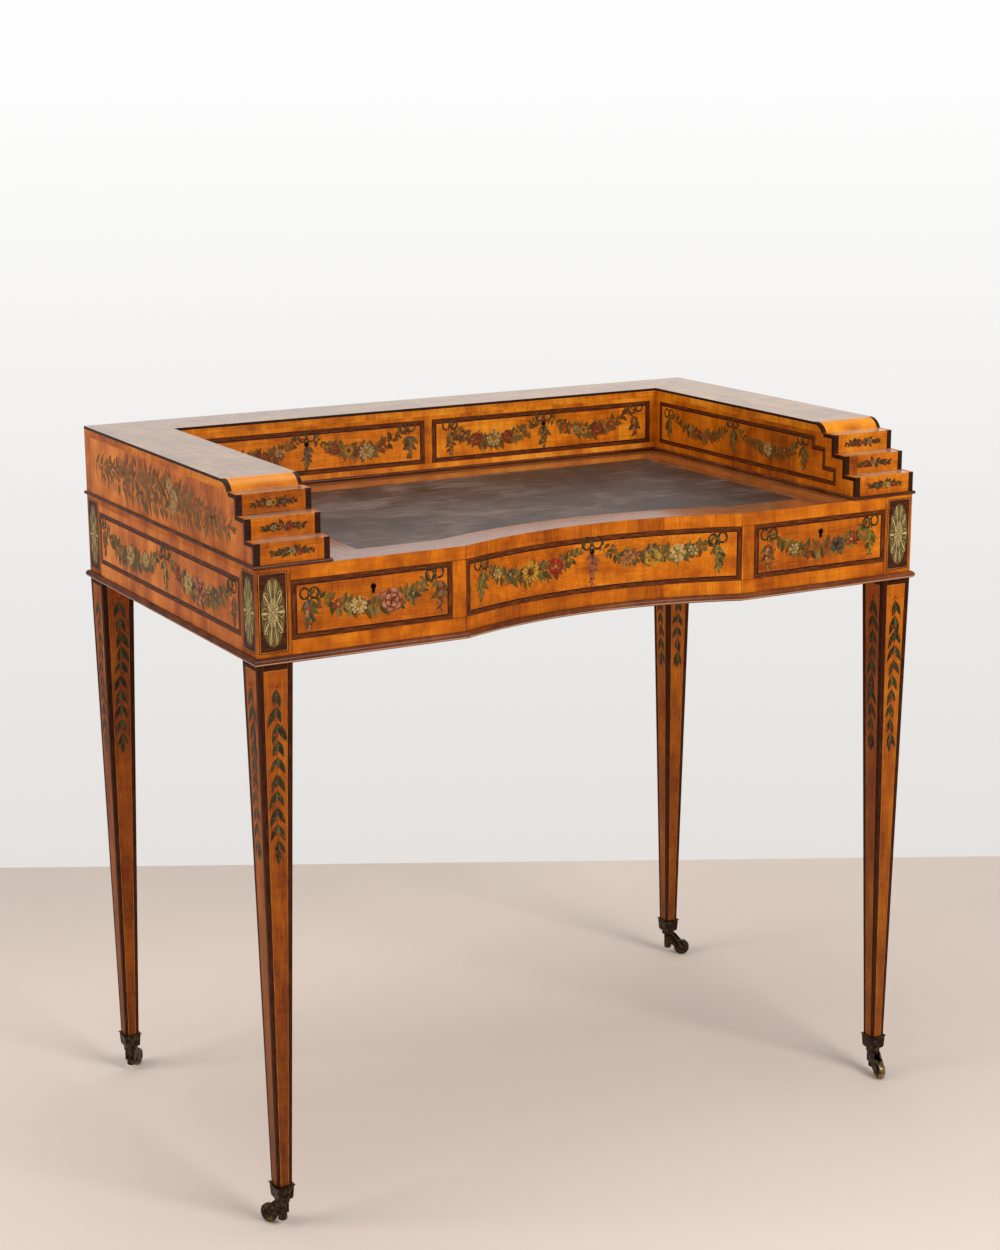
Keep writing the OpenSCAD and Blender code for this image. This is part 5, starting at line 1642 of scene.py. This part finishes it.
patera.append(dot(0, 0, 2.2 * MM, "#8A8460", "#F0E8CC", TABLET_LIFT + 30 * LAYER))
lay("post_paterae", [(place, patera) for place in POSTS], oil_paint, slot="satinwood")

# %% [markdown]
# ## Husks
# The legs carry a chain of husks: pairs of leaves that hang one below the other on a red-brown
# thread, with a drop at the end and red berries between the pairs. It is the leaf tree again,
# with a small lean and one pair every 19.3 mm, and a paler leaf over each dark one.

# %% Paint the husk chains
HUSK_STEP, HUSKS, THREAD_TOP = 19.3, 11, -24
HUSK_SPINE = [(0, -28), (1.2, -90), (-1.0, -150), (0, -204)]


def husks(seed):
    """A chain of pairs of leaves below the leg's top, one drop at its end and red berries."""
    dice = random.Random(seed)
    chain = leaves(HUSK_SPINE, 23.5, 7.0, HUSK_STEP, seed, "#1C1A0C", "#484824",
                   lean=0.33, spread=0.16, uneven=0.16, taper=0.15, fullness=0.95)
    chain += leaves(HUSK_SPINE, 15, 2.8, HUSK_STEP, seed + 70, "#34321A", "#747046", 14 * LAYER,
                    lean=0.06, spread=0.14, uneven=0.25, taper=0.15, fullness=1.0)
    chain += leaves([(0, -214), (0, -214.5)], 14, 5.5, 30, seed + 50, "#1E2414", "#3F4626",
                    lean=0.0, spread=0.0)
    chain += ribbon([(0, THREAD_TOP), (0.3, -80), (-0.4, -150), (0, -216)], 0.7, "#6A2A14",
                    "#8A3A1C", 3 * LAYER)
    for i in range(HUSKS):
        height = THREAD_TOP - i * HUSK_STEP
        for touch in range(1 + (i + seed) % 2 + 2 * (i == 0)):
            berry_u, berry_v = dice.uniform(-4.5, 4.5), height + dice.uniform(-2.5, 2.5)
            chain.append(dot(berry_u * MM, berry_v * MM, 1.4 * MM, "#8A1C12", "#CC4830",
                             (30 + touch) * LAYER))
    return chain


for number, (name, faces) in enumerate(LEG_FACES.items()):
    layers = [(face[0], husks(200 + 10 * number + i)) for i, face in enumerate(faces)]
    lay(name + "_husks", layers, oil_paint, slot="satinwood")

# %% [markdown]
# ## Leather
# The writing surface is old hide, skived thin and glued down: dark grey-brown, polished by
# sleeves, with long pale scuffs about 60 mm by 8 mm and a fine grain about a millimetre across.
# Its colour runs paler toward the left than toward the right. A photograph would bring its own
# light with it, so scuffs and stains are noises, and the grain is Voronoi cells in the bump.

# %% Make the leather
# near-black brown, scuffed grey along its length, with a low shine
leather, hide = new_material("worn_writing_leather")
hide_place = add(hide, "ShaderNodeTexCoord", output="Object")
long_scuffs = add(hide, "ShaderNodeMapping", {"Vector": hide_place, "Scale": (16.0, 130.0, 1.0)})
scuffs = add(hide, "ShaderNodeTexNoise", {
    "Vector": long_scuffs, "Scale": 1.0, "Detail": 9.0, "Roughness": 0.8, "Distortion": 1.0})
stains = add(hide, "ShaderNodeTexNoise", {
    "Vector": hide_place, "Scale": 12.0, "Detail": 6.0, "Roughness": 0.65})
cells = add(hide, "ShaderNodeTexVoronoi", {"Vector": hide_place, "Scale": 900.0})
blend = add(hide, "ShaderNodeMath", {0: scuffs, 1: 0.6}, operation="MULTIPLY")
blend = add(hide, "ShaderNodeMath", {0: stains, 1: 0.4, 2: blend}, operation="MULTIPLY_ADD")
hide_x = add(hide, "ShaderNodeSeparateXYZ", {0: hide_place}, "X")
paler_left = add(hide, "ShaderNodeMapRange", {
    "Value": hide_x, "From Min": -0.35, "From Max": 0.35, "To Min": 0.045, "To Max": -0.025})
blend = add(hide, "ShaderNodeMath", {0: blend, 1: paler_left}, operation="ADD")
hide_colour = tones(hide, blend, (0.4, 0.5, 0.62), ("#221813", "#3E3028", "#76645A"))
hide_rough = add(hide, "ShaderNodeMapRange", {
    "Value": blend, "From Min": 0.35, "From Max": 0.65, "To Min": 0.34, "To Max": 0.5})
hide_bump = add(hide, "ShaderNodeBump", {"Strength": 0.12, "Distance": 0.0002, "Height": cells})
close_material(hide, {"Base Color": hide_colour, "Roughness": hide_rough, "IOR": 1.5,
                      "Specular IOR Level": 0.4, "Normal": hide_bump})
dress(NODES["writing_leather"], leather)
print("leather laid")

# %% [markdown]
# ## Brass
# The caster cups and forks are cast brass gone brown-black with age, brighter where hands and
# floors have rubbed them. The front right wheel has been turned clean by the floor, and the other
# three are duller. The locks inside are cleaner. One recipe serves all four: tarnish in patches
# about 5 mm across sets the colour and the roughness together.


# %% Make four ages of brass
def brass(name, codes, rough):
    """Aged brass: dark tarnish in patches about 5 mm across over the metal."""
    material, tree = new_material(name)
    place = add(tree, "ShaderNodeTexCoord", output="Object")
    tarnish = add(tree, "ShaderNodeTexNoise", {
        "Vector": place, "Scale": 180.0, "Detail": 4.0, "Roughness": 0.6})
    pits = add(tree, "ShaderNodeTexNoise", {"Vector": place, "Scale": 1400.0, "Detail": 2.0})
    colour = tones(tree, tarnish, (0.35, 0.52, 0.7), codes)
    roughness = add(tree, "ShaderNodeMapRange", {
        "Value": tarnish, "From Min": 0.3, "From Max": 0.7,
        "To Min": rough + 0.15, "To Max": rough})
    bump = add(tree, "ShaderNodeBump", {"Strength": 0.15, "Distance": 0.0002, "Height": pits})
    close_material(tree, {
        "Base Color": colour, "Metallic": 1.0, "Roughness": roughness, "Normal": bump})
    return material


# brown-black castings with a dim glow
patinated = brass("patinated_brass", ("#1E1813", "#3B2F24", "#6A543A"), 0.38)
# pale gold, rubbed clean
worn_brass = brass("worn_brass", ("#5A4830", "#9A8058", "#D8C090"), 0.3)
# duller wheels between the two
dull_brass = brass("dull_wheel_brass", ("#2A221A", "#4E4030", "#8C764E"), 0.34)
# warm yellow, kept from the air inside the drawers
lock_brass = brass("lock_brass", ("#8A6A34", "#B8924E", "#D8B878"), 0.28)
FITTINGS = ((patinated, ("caster_cup", "caster_fork")),
            (worn_brass, ("caster_wheel_front_right", "lock_bolt", "gallery_bolt")),
            (dull_brass, ("caster_wheel",)), (lock_brass, ("lock_", "gallery_lock")))
for name, part in NODES.items():
    fitting = next((metal for metal, starts in FITTINGS if name.startswith(starts)), None)
    if fitting:
        dress(part, fitting)
print("brass on", sum("caster" in name for name in NODES), "caster parts")

# %% [markdown]
# ## Keyhole liners and their painted shade
# A liner of dark brass guards each keyhole: a flat rim and a tube that runs into the hole. It is
# partly painted shade: dark and deep, it makes the hole read black. Cutting one out of a plate
# would need a boolean, so the same outline is drawn at five widths and depths instead, and
# neighbouring rings are joined into one closed skin. The holes' places are read from the record's
# mounts.

# %% Line the keyholes
KEY_R, SLOT_W, SLOT_L, LINER = 2.6 * MM, 2.2 * MM, 7.0 * MM, 1.0 * MM
BORE_IN, FLARE, RIM_LIFT, TUBE_SHARE = -0.2 * MM, 0.3 * MM, 56 * LAYER, 0.7
KEY_STEPS = 20


def keyhole(more):
    """The outline of a keyhole, grown by a width: a round top and a slot, anticlockwise."""
    radius, half = KEY_R + more, SLOT_W / 2 + more
    start = math.asin(half / radius) - math.pi / 2
    arc = [start + (math.pi - 2 * start) * i / KEY_STEPS for i in range(KEY_STEPS + 1)]
    return ([(radius * math.cos(a), radius * math.sin(a)) for a in arc]
            + [(-half, -SLOT_L - more), (half, -SLOT_L - more)])


for body, (place, width, height) in DRAWERS.items():
    mount_name = body.replace("drawer", "keyhole")
    mount = next(m for m in frame["record"]["mounts"] if m["name"] == mount_name)
    v = mount["pos_m"][2] - place(0, 0, 0).z
    deep = mount["dims"]["length_mm"] * MM * TUBE_SHARE
    rings = ((LINER, RIM_LIFT), (BORE_IN, RIM_LIFT), (BORE_IN, -deep), (FLARE, -deep),
             (LINER, -SINK))
    points = [(x, y + v, lift) for more, lift in rings for x, y in keyhole(more)]
    count = len(points) // len(rings)
    sheet = []
    for ring in range(len(rings)):
        near, far = ring * count, (ring + 1) % len(rings) * count
        sheet += [(near + i, near + (i + 1) % count, far + (i + 1) % count, far + i)
                  for i in range(count)]
    # a real liner that is also painted shade: it darkens the hole to black
    liner = (points, sheet, [(x, y) for x, y, lift in points])
    lay(body + "_keyhole_liner", [(place, [liner])], patinated, body, "lock_brass",
        flat_shapes=False)
